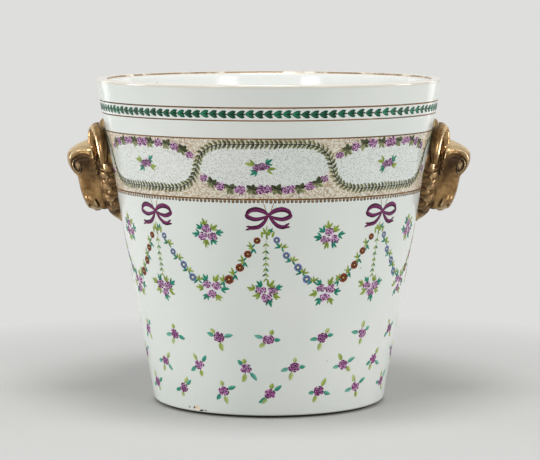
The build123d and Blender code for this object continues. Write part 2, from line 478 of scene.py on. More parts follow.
def glaze_zones(theta, radius, height, outer):
    """How far each point of the pot is in each zone of the glaze."""
    strands = np.stack([strand_height(theta, strand) for strand in (LAUREL_STRAND, ROSE_STRAND)])
    inside_strands = np.minimum(strands.max(axis=0) - height, height - strands.min(axis=0))
    between = np.clip(inside_strands / 2 + 0.5, 0, 1)
    band = outer & (height < LINE_HEIGHTS[2]) & (height > LINE_HEIGHTS[3])
    return {
        "ground_in": between * band,
        "ground_out": (1 - between) * band,
        "lip": np.clip((height - HEIGHT + 4.0) / 2.0, 0, 1),
        # Painted shade: the recessed foot, coloured near black in the glaze
        "foot": (height < 3.2) & (radius < BASE_RADIUS - 1.0),
        # Painted light: the inside of the pot, glazed lighter
        "inside": (height > FLOOR_TOP - 1.0) & (radius < wall_radius(height) - 0.7 * LIP_WIDTH),
    }


def pot_faces(profile, theta):
    """Faces and uv of the turned skin. The two points on the axis come after all the others."""
    outside = np.abs(profile[1:, 0] - wall_radius(profile[1:, 1])) < 5
    steps = np.linalg.norm(np.diff(profile, axis=0), axis=1)
    travel = np.concatenate(([0], np.cumsum(steps * np.where(outside, 2.0, 1.0))))
    travel /= travel[-1]
    turn = np.append((theta - theta[0]) / (2 * math.pi), 1.0)
    count = len(theta)
    last = len(profile) - 1
    poles = {0: (last - 1) * count, last: (last - 1) * count + 1}
    faces = []
    uv = []
    for row in range(last):
        for column in range(count):
            corners = [(row, column + 1), (row + 1, column + 1), (row + 1, column), (row, column)]
            if row in (0, last - 1):
                corners.pop(0 if row == 0 else 1)
            faces.append(tuple(poles.get(up, (up - 1) * count + around % count) for up, around in corners))
            uv += [(turn[around], travel[up]) for up, around in corners]
    return faces, uv


def build_pot(material):
    profile = pot_profile()
    theta = pot_angles()
    radius, angle = np.meshgrid(profile[1:-1, 0], theta, indexing="ij")
    height = np.repeat(profile[1:-1, 1:], len(theta), axis=1)
    outer = np.abs(radius - wall_radius(height)) < 4.0
    chip, depth = foot_chip(radius, angle, height)
    chip = chip * outer
    radius = radius - chip * depth
    verts = np.stack((radius * np.sin(angle), -radius * np.cos(angle), height), axis=-1).reshape(-1, 3)
    verts = np.vstack((verts, [(0, 0, UNDERSIDE), (0, 0, FLOOR_TOP)]))
    zones = {"chip": chip, **glaze_zones(theta, radius, height, outer)}
    marks = {key: np.append(values, (0, 0)) for key, values in zones.items()}
    faces, uv = pot_faces(profile, theta)
    piece = make_piece("porcelain_pot", verts, faces, material, uv, marks)
    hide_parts("pot_body")


def build_rings(name, material, outlines):
    """Thin closed bands round the axis. Each outline is a closed loop of (radius, height)."""
    verts = []
    faces = []
    uv = []
    for number, outline in enumerate(outlines):
        size = len(outline)
        first = len(verts)
        for angle in np.linspace(-math.pi, math.pi, RING_COLUMNS + 1)[:-1]:
            verts += [(across * math.sin(angle), -across * math.cos(angle), up) for across, up in outline]
        for column in range(RING_COLUMNS):
            left, right = column / RING_COLUMNS, (column + 1) / RING_COLUMNS
            here = first + column * size
            after = first + (column + 1) % RING_COLUMNS * size
            for row in range(size):
                above = (row + 1) % size
                faces.append((here + row, after + row, after + above, here + above))
                low, high = ((number + edge / size) / len(outlines) for edge in (row, row + 1))
                uv += [(left, low), (right, low), (right, high), (left, high)]
    make_piece(name, verts, faces, material, uv)


def wall_band(height, thick):
    """Outline of a line painted round the outer wall, domed and with its edges sunk."""
    out = []
    top = LINE_LIFT * 1.15
    dome = ((-0.5, -0.08), (-0.38, LINE_LIFT), (0.0, top), (0.38, LINE_LIFT), (0.5, -0.08), (0.0, -0.14))
    for share, rise in dome:
        up = height + share * thick
        out.append((wall_radius(up) + rise * math.cos(LEAN), up - rise * math.sin(LEAN)))
    return out


def lip_band():
    """Outline of the gold on the round of the lip's inner edge."""
    out = []
    for degrees, rise in ((138, -0.1), (136, 0.1), (125, 0.14), (114, 0.1), (112, -0.1), (125, -0.16)):
        cos, sin = compass(degrees)
        radius = LIP_ROUNDING + rise
        across = RIM_RADIUS - LIP_WIDTH + LIP_ROUND_INSET + radius * cos
        out.append((across, HEIGHT - LIP_ROUNDING + radius * sin))
    return out


# Painted decoration

ACROSS = np.array((-1.0, -0.5, 0.0, 0.5, 1.0))
SUNK = -0.06


class Brush:
    """Paints enamel on the wall. Each stroke is a closed shallow dome, and all are gathered into one mesh."""

    def __init__(self, seed):
        self.rng = random.Random(seed)
        self.vary = self.rng.uniform
        self.at = None
        self.points = []
        self.colours = []
        self.floors = []
        self.tops = []
        self.size = 0

    def stroke(self, path, half, start, end=None, lift=0.2, vein=0.85):
        """One stroke along a path in millimetres from self.at, which is an angle in degrees and a height.
        start and end are the five shades across it."""
        path = np.asarray(path, dtype=float)
        half = np.asarray(half, dtype=float)[1:-1]
        count = len(half)
        tangent = unit(np.gradient(path, axis=0)[1:-1])
        normal = np.stack((-tangent[:, 1], tangent[:, 0]), axis=1)
        body = path[1:-1, None, :] + normal[:, None, :] * (half[:, None] * ACROSS)[:, :, None]
        x, y = np.vstack((path[:1], body.reshape(-1, 2), path[-1:])).T
        height = self.at[1] + y * math.cos(LEAN)
        theta = math.radians(self.at[0]) + x / wall_radius(height)
        rise = np.tile((SUNK, lift, lift * vein, lift, SUNK), count)
        self.points.append(np.stack((theta, height, np.concatenate(((SUNK,), rise, (SUNK,)))), axis=1))
        start = np.array([srgb(*tone) for tone in start])
        end = start if end is None else np.array([srgb(*tone) for tone in end])
        share = np.linspace(0, 1, count)[:, None, None]
        colours = (start * (1 - share) + end * share).reshape(-1, 4)
        self.colours.append(np.vstack((start[2:3], colours, end[2:3])))
        self.cover(count)

    def cover(self, count):
        """Faces of a stroke with this many rows of five points between its two ends."""
        first = self.size
        last = first + 1 + 5 * count
        rows = np.arange(first + 1, last).reshape(count, 5).tolist()
        self.floors.append([first] + [row[4] for row in rows] + [last] + [row[0] for row in reversed(rows)])
        for column in range(4):
            self.tops.append((first, rows[0][column], rows[0][column + 1]))
            self.tops.append((last, rows[-1][column + 1], rows[-1][column]))
        for here, after in zip(rows, rows[1:]):
            for column in range(4):
                self.tops.append((here[column], after[column], after[column + 1], here[column + 1]))
        self.size = last + 1

    def finish(self, name, material):
        """Makes the piece, with its uv laid out by angle and height."""
        theta, height, lift = np.vstack(self.points).T
        flat = []
        for values in (theta, height):
            flat.append(0.01 + 0.98 * (values - values.min()) / (values.max() - values.min()))
        faces = self.floors + self.tops
        uv = np.stack(flat, axis=1)[np.concatenate(faces)]
        marks = {"paint": np.vstack(self.colours)}
        make_piece(name, on_wall(theta, height, lift), faces, material, uv, marks)


# Enamel colours, from 0 to 255
YELLOW_GREEN = (152, 178, 66)
TEAL = (24, 142, 112)
EMERALD = (12, 116, 76)
OLIVE = (172, 178, 122)
DARK_OLIVE = (84, 94, 54)
STRAND_STEM = (40, 48, 26)
GARLAND_STEM = (116, 146, 78)
PENDANT_STEM = (128, 164, 84)
KNOT_STEM = (120, 150, 70)
SPRIG_STEM = (104, 56, 96)
LILAC = (216, 168, 214)
PUCE = (134, 20, 112)
MAGENTA = (104, 8, 76)
IRON_RED = (134, 46, 12)
BLUE = (92, 114, 176)
RED_EYE = (232, 200, 110)
BLUE_EYE = (230, 222, 180)
TIE = (156, 112, 62)
TAN = (120, 88, 50)
BROWN = (50, 30, 12)
KILN_BLACK = (24, 20, 16)


def shade(colour, amount):
    """Lighter (above 0) or darker (below 0) version of a colour."""
    goal = 255 if amount > 0 else 0
    return tuple(value + (goal - value) * abs(amount) for value in colour)


def shades(colour, *amounts):
    return [shade(colour, amount) for amount in amounts]


def five_tones(edge, body, middle):
    """Five shades across a stroke."""
    return (edge, body, middle, body, edge)


def ray(x, y, angle, along, flat=1.0):
    """Points at distances along a direction from a point, drawn in by flat up and down."""
    cos, sin = compass(angle)
    return np.stack((x + along * cos, y + flat * along * sin), axis=1)


def leaf(brush, x, y, angle, length, width, colour, bend=0.0, dark=-0.35, split=0.1):
    """Leaf from its base, with a darker edge and vein and one half darker than the other by split."""
    share = np.linspace(0, 1, 7)
    along = share * length
    side = bend * length * np.sin(math.pi * share * 0.75)
    cos, sin = compass(angle)
    path = np.stack((x + along * cos - side * sin, y + along * sin + side * cos), axis=1)
    half = width / 2 * np.sin(math.pi * share**0.8) ** 0.75
    edge = shade(colour, dark * 0.6)
    start = (edge, shade(colour, -split), shade(colour, dark), colour, edge)
    end = (edge, *shades(colour, -split * 0.5, dark * 0.5, 0.16), edge)
    brush.stroke(path, half, start, end)


def line(brush, points, width, colour, lift=0.14, taper=True):
    """Thin brush line through points."""
    points = np.asarray(points, dtype=float)
    lengths = lengths_along(points)
    count = max(5, min(60, int(lengths[-1] / 1.2) + 3))
    goal = np.linspace(0, lengths[-1], count)
    path = np.stack([np.interp(goal, lengths, values) for values in points.T], axis=1)
    for _ in range(2):
        path[1:-1] = (path[:-2] + 2 * path[1:-1] + path[2:]) / 4
    half = np.full(count, width / 2)
    if taper:
        half *= 0.55 + 0.45 * np.sin(math.pi * np.linspace(0, 1, count))
    edge = shade(colour, -0.15)
    brush.stroke(path, half, five_tones(edge, colour, colour), None, lift, 1.1)


def dot(brush, x, y, radius, colour, lift):
    path = ray(x, y, 0, radius * np.array((-1.0, -0.7, 0.0, 0.7, 1.0)))
    half = radius * np.array((0, 0.72, 1.0, 0.72, 0))
    tones = five_tones(shade(colour, -0.12), colour, shade(colour, 0.1))
    brush.stroke(path, half, tones, None, lift, 1.15)


def tuft(brush, x, y, angle, size, colour, count=3):
    """Spray of two or three brush-stroke leaves from one point."""
    for index in range(count):
        turn = (index - (count - 1) / 2) * brush.vary(30, 42)
        length = size * (1.0 if index == count // 2 else 0.78) * brush.vary(0.9, 1.1)
        tone = shade(colour, brush.vary(-0.14, 0.14))
        leaf(brush, x, y, angle + turn, length, length * 0.4, tone, brush.vary(-0.12, 0.12))


def petals(brush, x, y, radius, count, turn, tones, lift, wide, start):
    """Ring of round petals about a point. tones are the shades at their root, on them and at their edge."""
    inner, outer, edge = tones
    share = np.linspace(0, 1, 6)
    along = radius * (start + (1 - start) * share)
    half = radius * wide * math.sin(math.pi / count) * np.sin(math.pi * (0.04 + 0.96 * share) ** 1.25) ** 0.6
    root = five_tones(inner, inner, shade(inner, -0.2))
    tip = five_tones(edge, outer, shade(outer, 0.15))
    for index in range(count):
        brush.stroke(ray(x, y, turn + 360 * index / count, along), half, root, tip, lift)


def rose(brush, x, y, radius, tone, flat=0.8, deep=0.0):
    """Puce rose: separate lilac petals with dark strokes across them and a dark cup."""
    turn = brush.vary(0, 360)
    puce = shade(PUCE, tone)
    lilac = tuple(pale + (strong - pale) * deep for pale, strong in zip(shade(LILAC, tone), puce))
    dot(brush, x, y, radius * 0.62, shade(lilac, -0.14), 0.1)
    count = brush.rng.choice((6, 7))
    turns = [turn + 360 / count * (index + brush.vary(-0.22, 0.22)) for index in range(count)]
    share = np.linspace(0, 1, 6)
    for angle in turns:
        along = radius * brush.vary(0.86, 1.14) * (0.3 + 0.7 * share)
        half = radius * brush.vary(0.26, 0.36) * np.sin(math.pi * (0.05 + 0.95 * share) ** 1.3) ** 0.55
        pale = shade(lilac, brush.vary(-0.15, 0.35))
        tip = five_tones(shade(pale, -0.2), pale, shade(pale, 0.2))
        brush.stroke(ray(x, y, angle, along, flat), half, five_tones(puce, puce, pale), tip, 0.17)
    for ring, thick, sweep, places in ((0.66, 0.125, 0.42, turns), (0.30, 0.13, 0.80, turns[::2])):
        half = radius * thick * np.array((0, 0.8, 1.1, 1.1, 0.8, 0))
        for angle in places:
            arc = math.radians(angle + brush.vary(-22, 22)) + np.linspace(sweep, -sweep, 6)
            bowed = radius * (ring * brush.vary(0.88, 1.12) + 0.12 * np.cos(np.linspace(-1.5, 1.5, 6)))
            path = np.stack((x + bowed * np.cos(arc), y + flat * bowed * np.sin(arc)), axis=1)
            dark = shade(puce, brush.vary(-0.6, -0.2))
            brush.stroke(path, half, (dark,) * 5, None, 0.26, 1.1)
    dot(brush, x, y, radius * 0.16, shade(MAGENTA, -0.35), 0.3)


def red_flower(brush, x, y, radius):
    """Two rings of red petals on a dark round, with a pale eye."""
    turn = brush.vary(0, 60)
    dot(brush, x, y, radius * 1.04, shade(IRON_RED, -0.7), 0.12)
    petals(brush, x, y, radius, 6, turn, shades(IRON_RED, -0.6, 0.06, -0.65), 0.2, 0.95, 0.25)
    petals(brush, x, y, radius * 0.6, 5, turn + 30, shades(IRON_RED, -0.6, 0.05, -0.6), 0.25, 0.9, 0.3)
    dot(brush, x, y, radius * 0.2, RED_EYE, 0.32)


def blue_flower(brush, x, y, radius):
    """Five blue petals with dark strokes between them and a pale eye."""
    turn = brush.vary(0, 72)
    petals(brush, x, y, radius, 5, turn, shades(BLUE, -0.35, 0.2, -0.35), 0.2, 0.9, 0.22)
    along = radius * np.array((0.25, 0.4, 0.55, 0.7, 0.8))
    half = radius * np.array((0, 0.06, 0.07, 0.05, 0))
    dark = shade(BLUE, -0.5)
    for index in range(5):
        brush.stroke(ray(x, y, turn + 36 + 72 * index, along), half, (dark,) * 5, None, 0.24, 1.1)
    dot(brush, x, y, radius * 0.17, BLUE_EYE, 0.3)


# Bow: half outlines in millimetres from its knot, and the widths along them
BOW_TIE = np.array(((5.2, 12.8), (3.6, 8.5), (2.2, 3.5)))
LOOP_TOP = np.array(((0.6, 0.6), (5.5, 4.2), (12.5, 5.9), (18.6, 4.2), (21.4, 0.4)))
LOOP_BACK = np.array(((21.4, 1.6), (20.4, -1.4), (14.0, -3.9), (7.5, -3.2), (0.8, -0.8)))
LEFT_TAIL = np.array(((0.8, -1.0), (4.0, -6.5), (8.6, -11.0), (14.0, -12.4), (19.0, -12.6)))
RIGHT_TAIL = np.array(((0.8, -1.0), (4.6, -6.5), (9.2, -10.6), (13.8, -11.8), (17.6, -10.8)))
KNOT = ((-2.2, 0.6), (-1.2, 0.3), (0.0, 0.0), (1.2, -0.2), (2.2, -0.4))


def ribbon(brush, points, widths, lift=0.2, flip=False):
    """Bow ribbon with a light and a dark edge, which change places when it is flipped."""
    steps = np.linspace(0, 1, 26)
    half = np.interp(steps, np.linspace(0, 1, len(widths)), widths) * 0.64
    ends = [shades(MAGENTA, -0.7, -0.3, 0.18, -0.1, -0.65), shades(MAGENTA, -0.6, -0.6, -0.2, 0.12, -0.65)]
    start, end = reversed(ends) if flip else ends
    brush.stroke(curve(points, len(steps)), half, start, end, lift)


def bow(brush):
    """Two ties, two loops and two forked tails about a knot."""
    for hand, tail, rise in ((-1, LEFT_TAIL, -0.2), (1, RIGHT_TAIL, 0.6)):
        mirror = (hand, 1)
        line(brush, BOW_TIE * mirror, 0.9, TIE)
        ribbon(brush, LOOP_TOP * mirror, (2.4, 4.0, 4.4, 3.8, 2.6))
        ribbon(brush, LOOP_BACK * mirror, (2.2, 3.8, 3.6, 3.0, 2.0), 0.24, True)
        ribbon(brush, tail * mirror, (2.0, 3.0, 3.6, 3.6, 3.2), 0.22)
        x, y = tail[-1]
        for way, reach in ((1.0, 2.6), (-1.0, 3.4)):
            middle = (x + 0.5 * reach, y + rise + 1.5 * way)
            tip = (x + reach, y + 2 * rise + 2.1 * way)
            fork = np.array(((x - 1.0, y - 0.3 * rise + way), middle, tip))
            ribbon(brush, fork * mirror, (2.2, 1.7, 0.3), 0.23)
    dark = shade(MAGENTA, -0.15)
    tones = five_tones(shade(dark, -0.3), dark, shade(MAGENTA, 0.18))
    brush.stroke(KNOT, (0, 2.0, 2.5, 2.0, 0), tones, None, 0.34, 1.1)


# Leaves of a garland: turn, looseness, length, width, first or second colour, shades, bend
TRIO = (
    (0, 8, 7.4, 2.5, 0, (-0.1, 0.12), 0.08),
    (58, 10, 6.6, 2.3, 0, (-0.15, 0.1), -0.08),
    (-60, 10, 5.0, 2.2, 1, (-0.1, 0.15), 0.08),
)


def leaf_trio(brush, x, y, angle, *colours):
    for turn, loose, length, width, which, tones, bend in TRIO:
        lean = angle + turn + brush.vary(-loose, loose)
        leaf(brush, x, y, lean, length, width, shade(colours[which], brush.vary(*tones)), bend)


# Bouquets: radius and places of the roses, and places of the leaves with their colours
PENDANT = (
    6.0,
    ((-5.2, 2.4), (6.4, 1.8), (0.8, -5.4)),
    ((-6, 9.6, TEAL), (4.2, 9.6, YELLOW_GREEN), (13, 5.2, TEAL), (-14.4, 4.8, YELLOW_GREEN),
     (-9.6, -3.6, YELLOW_GREEN), (10.6, -4.2, YELLOW_GREEN), (2.4, -11, TEAL)),
)
SWAG = (
    5.9,
    ((-5.2, 3.4), (5.2, 2.4), (-0.4, -6.0)),
    ((-7.8, 10, TEAL), (4.8, 10.2, YELLOW_GREEN), (13.6, -1.4, TEAL), (7, -10, YELLOW_GREEN),
     (-7.4, -9.8, TEAL), (-13, -0.8, YELLOW_GREEN)),
)
POSY = (
    5.8,
    ((-0.8, 5.0), (-5.0, -2.8), (5.2, -2.8)),
    ((-2.4, 12.6, YELLOW_GREEN), (-8.6, 7.6, TEAL), (7.4, 7.4, YELLOW_GREEN), (12.8, 1.6, TEAL),
     (6.0, -8.6, TEAL), (-3.4, -9.6, YELLOW_GREEN), (-12.8, -0.6, TEAL)),
)


def bouquet(brush, at, kind):
    """Three roses ringed with sprays of leaves."""
    brush.at = at
    radius, roses, leaves = kind
    for x, y, colour in leaves:
        angle = math.degrees(math.atan2(y, x))
        reach = math.hypot(x, y)
        inner = max(0.0, reach - 4.2)
        lean = angle + brush.vary(-12, 12)
        tuft(brush, inner * x / reach, inner * y / reach, lean, 8.8, colour)
    for x, y in roses:
        rose(brush, x, y, radius * brush.vary(0.92, 1.08), brush.vary(-0.1, 0.14))


# Garlands from the knot: flower, its places as (share of the way out, height, radius), the end, how far
# along each gap its leaves sit, the turns of the two trios and the second one's shift
RED_GARLAND = (
    red_flower,
    ((-0.19, -25.3, 3.7), (-0.345, -39.0, 4.1), (-0.48, -52.7, 4.6), (-0.667, -65.0, 5.1)),
    (-0.86, -69.0), 0.52, (235, 10), (1.0, -0.6),
)
BLUE_GARLAND = (
    blue_flower,
    ((0.135, -24.7, 3.7), (0.293, -40.2, 3.9), (0.49, -52.5, 4.4), (0.638, -64.6, 4.6)),
    (0.86, -71.0), 0.5, (55, 190), (-0.8, 0.4),
)


def garland(brush, kind, reach):
    """Flowers along one side of a swag with two trios of leaves in each gap."""
    flower, places, end, gap, turns, shift = kind
    points = [(share * reach, y) for share, y, _ in places]
    for (x, y), (after_x, after_y) in zip(points, points[1:] + [(end[0] * reach, end[1])]):
        middle_x = x + gap * (after_x - x)
        middle_y = y + gap * (after_y - y)
        direction = math.degrees(math.atan2(after_y - y, after_x - x))
        leaf_trio(brush, middle_x, middle_y, direction + turns[0], YELLOW_GREEN, TEAL)
        shifted = (middle_x + shift[0], middle_y + shift[1])
        leaf_trio(brush, *shifted, direction + turns[1], TEAL, YELLOW_GREEN)
        line(brush, [(x, y), (after_x, after_y)], 0.5, GARLAND_STEM, 0.12)
    for (x, y), (_, _, size) in zip(points, places):
        flower(brush, x, y, size)


# Leaves under the knot: place, turn and length, then a spray's colour or a leaf's width, shade and bend
KNOT_TUFTS = (
    (-2.8, -18.5, 118, 6.6, YELLOW_GREEN),
    (1.4, -17.5, 62, 6.0, TEAL),
    (-0.4, -20.5, 88, 7.6, YELLOW_GREEN),
)
KNOT_LEAVES = (
    (-1.8, -15.0, 84, 5.0, 1.5, 0.0, 0.05),
    (-6.4, -22.8, 100, 7.2, 2.6, 0.0, -0.06),
    (3.4, -22.4, 68, 7.4, 2.8, 0.0, 0.06),
    (-1.0, -24.5, 100, 6.4, 2.2, -0.15, 0.06),
)
PENDANT_STEPS = (-29.5, -36.7, -42.9, -49.0, -54.4, -59.8, -65.0)
PENDANT_DROP = 77.5

# Heights of the two bouquets between bows, left of the front and elsewhere
SWAG_HEIGHTS = (131.0, 127.5)
POSY_HEIGHTS = (185.0, 182.0)


def pendant(brush):
    """Stem of paired leaves that hangs from the knot."""
    line(brush, [(-2.4, -23.0), (-2.6, -44.0), (-2.6, -64.5)], 0.9, PENDANT_STEM)
    for step, y in enumerate(PENDANT_STEPS):
        for hand in (-1, 1):
            tone = shade(YELLOW_GREEN if (step + hand) % 3 else EMERALD, brush.vary(-0.12, 0.1))
            angle = 90 + hand * (134 + brush.vary(-8, 8))
            leaf(brush, -2.6, y + 1.6, angle, 4.9, 1.9, tone, hand * 0.08)


def swag_bay(brush, before, angle, after):
    """A bow with its pendant, the red garland to the left, the blue to the right and two bouquets.
    before and after are the angles of the bows beside it."""
    brush.at = (angle, BOW_HEIGHT)
    if angle not in MASK_ANGLES:
        bow(brush)
        for x, y, turn, size, colour in KNOT_TUFTS:
            tuft(brush, x, y, turn, size, colour)
        for x, y, turn, length, width, amount, bend in KNOT_LEAVES:
            leaf(brush, x, y, turn, length, width, shade(YELLOW_GREEN, amount), bend)
        line(brush, [(-1.8, -16.0), (-2.4, -24.0)], 0.6, KNOT_STEM)
    pendant(brush)
    bouquet(brush, (angle - 1.0, BOW_HEIGHT - PENDANT_DROP * math.cos(LEAN)), PENDANT)
    left = (before + angle) / 2
    right = (after + angle) / 2
    radius = wall_radius(GARLAND_HEIGHT)
    brush.at = (angle, BOW_HEIGHT)
    garland(brush, RED_GARLAND, math.radians(angle - left) * radius)
    garland(brush, BLUE_GARLAND, math.radians(right - angle) * radius)
    for kind, (height_left, height) in ((SWAG, SWAG_HEIGHTS), (POSY, POSY_HEIGHTS)):
        bouquet(brush, (right, height_left if right < 0 else height), kind)


# Leaves of a sprig: across it or upright, turn, colour, length and width
SPRIG_LEAVES = (
    (0, 0, TEAL, 9.4, 4.9),
    (0, 180, TEAL, 8.6, 4.8),
    (1, 0, YELLOW_GREEN, 8.6, 5.4),
    (1, 180, YELLOW_GREEN, 7.8, 5.2),
)
SPRIG_ROWS = ((81.0, (-0.4, 22.9)), (51.6, (11.6, 35.0)), (26.4, (0.2, 23.2)))
SPRIG_SIZE = 5.6
CHIP_BAY = 7
KILN_SPECKS = (
    ((-10.6, 1.4), (-9.4, -0.6), (-8.6, -1.4)),
    ((-4.6, -0.4), (-3.4, 0.2), (-2.4, -0.2)),
    ((2.6, -2.4), (5.0, -2.0), (8.6, -1.2)),
    ((9.4, -1.0), (10.4, -1.4), (11.4, -2.2)),
)


def small_sprig(brush):
    """Single rose with a pair of teal leaves across it and a pair of yellow-green ones up and down."""
    level = brush.vary(-24, 32)
    upright = level + brush.rng.choice((-1, 1)) * brush.vary(52, 90)
    root = SPRIG_SIZE * 0.92
    for which, turn, colour, length, width in SPRIG_LEAVES:
        angle = (level, upright)[which] + turn + brush.vary(-28, 28)
        cos, sin = compass(angle)
        line(brush, ray(0, 0, angle, np.array((2.5, root * 1.2))), 1.1, SPRIG_STEM)
        lean = angle + brush.vary(-16, 16)
        length = length * brush.vary(0.65, 1.2)
        tone = shade(colour, brush.vary(0.08, 0.4))
        leaf(brush, root * cos, root * sin, lean, length, width, tone, brush.vary(-0.16, 0.16), -0.2, 0.2)
    rose(brush, 0, 0, SPRIG_SIZE * 1.12, brush.vary(-0.12, 0.06), 0.88, brush.vary(0.15, 0.5))


def sprig_bay(brush, number):
    """Six sprigs in three staggered rows, and the kiln specks by the chip."""
    for height, offsets in SPRIG_ROWS:
        for offset in offsets:
            brush.at = (BAY * number + offset + brush.vary(-1.0, 1.0), height + brush.vary(-1.2, 1.2))
            small_sprig(brush)
    if number == CHIP_BAY:
        brush.at = (CHIP_ANGLE, CHIP_HEIGHT)
        for points in KILN_SPECKS:
            line(brush, points, 1.7, KILN_BLACK, 0.06)


LAUREL_COUNT = 15
UNEVEN_COUNTS = {1: 13, 7: 16}
LAUREL_HALF = 2.2 * np.array((0, 0.42, 0.66, 0.84, 0.95, 1.0, 0.9, 0.55, 0))


def laurel_bay(brush, number):
    """Pairs of emerald leaves on a stem, between the two upper lines."""
    height = (LINE_HEIGHTS[0] + LINE_HEIGHTS[1]) / 2
    count = UNEVEN_COUNTS.get(number, LAUREL_COUNT)
    pitch = BAY / count
    step = math.radians(pitch) * wall_radius(height)
    stem = [(-0.5 * step, 0), (0.1 * step, 0), (0.55 * step, 0)]
    share = np.linspace(0, 1, len(LAUREL_HALF))
    flare = 0.8 * share + 0.2 * share**4
    for index in range(count):
        brush.at = (BAY * number + pitch * (index + 0.5) - BAY / 2, height + brush.vary(-0.3, 0.3))
        tone = shade(EMERALD, brush.vary(-0.4, 0.06))
        dark = shade(tone, -0.45)
        line(brush, stem, 1.8, shade(EMERALD, -0.55), 0.16, False)
        for hand in (-1, 1):
            along = -5.0 + brush.vary(8.8, 9.4) * share
            path = np.stack((along, hand * brush.vary(3.3, 3.7) * flare), axis=1)
            root = five_tones(dark, tone, shade(tone, 0.18))
            brush.stroke(path, LAUREL_HALF, root, five_tones(dark, dark, shade(tone, -0.1)))


FRINGE_COUNT = 30


def fringe_bay(brush, number):
    """Tan loops that hang from the lowest line."""
    for index in range(FRINGE_COUNT):
        angle = BAY * number + BAY * (index + 0.5) / FRINGE_COUNT - BAY / 2
        brush.at = (angle, LINE_HEIGHTS[3] - 0.4)
        drop = 3.3 + brush.vary(-0.3, 0.3)
        wide = brush.vary(1.5, 1.75)
        path = [(0, 0.2), (0, -0.7), (0, -drop * 0.6), (0, -drop * 0.92), (0, -drop)]
        tan = shade(TAN, brush.vary(-0.1, 0.16))
        edge = shade(BROWN, brush.vary(-0.1, 0.1))
        top = five_tones(edge, tan, shade(tan, 0.3))
        foot = five_tones(edge, edge, shade(tan, -0.12))
        brush.stroke(path, (0, wide, wide * 1.05, wide * 0.7, 0), top, foot, 0.16)


# Guilloche: flowers as (share of the way along, radius), and leaves by their share
WIDE_MEDALLION = 40.0
ROSE_PLACES = ((0.05, 4.8), (0.166, 6.0), (0.31, 6.0), (0.478, 7.6), (0.65, 6.4), (0.8, 5.8), (0.905, 4.8))
LEAF_PLACES = (0.106, 0.238, 0.394, 0.566, 0.73, 0.856)
NARROW_LEAF_PLACES = (0.2, 0.42, 0.62, 0.85)
STRAND_PITCH = 4.5
STEM_PARTS = 4
DOUBLE_ROSE = 6.2
SECOND_STRETCH = 1.045
FIRST_SPRAY_SHIFT = 2.6


def strand_path(start, end, strand):
    """Sampled path of a strand over one medallion: angle, height and length along it."""
    theta = np.radians(np.linspace(start, end, 400))
    height = strand_height(theta, strand)
    steps = np.hypot(np.diff(theta) * wall_radius(height)[1:], np.diff(height) / math.cos(LEAN))
    return np.degrees(theta), height, np.concatenate(([0], np.cumsum(steps)))


def laurel_strand(brush, start, end):
    """Pairs of olive leaves along a dark stem."""
    angle, height, along = strand_path(start, end, LAUREL_STRAND)

    def place(goal):
        return np.interp(goal, along, angle), np.interp(goal, along, height)

    count = int(along[-1] / STRAND_PITCH)
    for index in range(count):
        goal = (index + 0.5) * along[-1] / count
        brush.at = place(goal)
        after = place(goal + 1.5)
        before = place(goal - 1.5)
        sideways = math.radians(after[0] - before[0]) * wall_radius(brush.at[1])
        direction = math.degrees(math.atan2(after[1] - before[1], sideways)) + 180
        for hand in (-1, 1):
            tone = shade(OLIVE, brush.vary(-0.32, 0.15))
            lean = direction - hand * brush.vary(46, 58)
            leaf(brush, 0, hand * 0.2, lean, brush.vary(5.6, 6.8), 3.5, tone, hand * 0.06, -0.7, 0.6)
    brush.at = (place(along[-1] / 2)[0], GUILLOCHE_MIDDLE)
    for part in range(STEM_PARTS):
        goal = np.linspace(along[-1] * part / STEM_PARTS, along[-1] * (part + 1) / STEM_PARTS, 26)
        angles, heights = place(goal)
        x = np.radians(angles - brush.at[0]) * wall_radius(heights)
        y = (heights - brush.at[1]) / math.cos(LEAN)
        line(brush, np.stack((x, y), axis=1), 1.0, STRAND_STEM, 0.24, False)


def rose_strand(brush, number, start, end):
    """Roses with bunches of leaves between them. The first medallion's run the other way."""
    angle, height, _ = strand_path(start, end, ROSE_STRAND)
    wide = end - start
    roomy = wide > WIDE_MEDALLION
    stretch = wide * (SECOND_STRETCH if number == 1 else 1)

    def place(share):
        spot = end - share * wide if number == 0 else start + share * stretch
        return spot, np.interp(spot, angle, height)

    for share in LEAF_PLACES if roomy else NARROW_LEAF_PLACES:
        brush.at = place(share)
        ahead = np.interp(brush.at[0] + 0.7, angle, height) - brush.at[1]
        lean = math.degrees(math.atan2(ahead, 2))
        for order, turn in enumerate((58, -52, 142, -116, 14, 186)):
            tone = shade(OLIVE if order % 2 else DARK_OLIVE, brush.vary(-0.3, 0.1))
            turned = lean + turn + brush.vary(-14, 14)
            leaf(brush, 0, 0, turned, brush.vary(5.6, 7.4), 5.0, tone, brush.vary(-0.1, 0.1), -0.5, 0.4)
    for share, size in ROSE_PLACES if roomy else ROSE_PLACES[::2]:
        brush.at = place(share)
        if size > DOUBLE_ROSE:
            rose(brush, -2.8, -0.4, size * 0.82, -0.02)
            rose(brush, 3.2, 0.6, size * 0.82, 0.04)
        else:
            rose(brush, 0, 0, size, brush.vary(-0.08, 0.06))


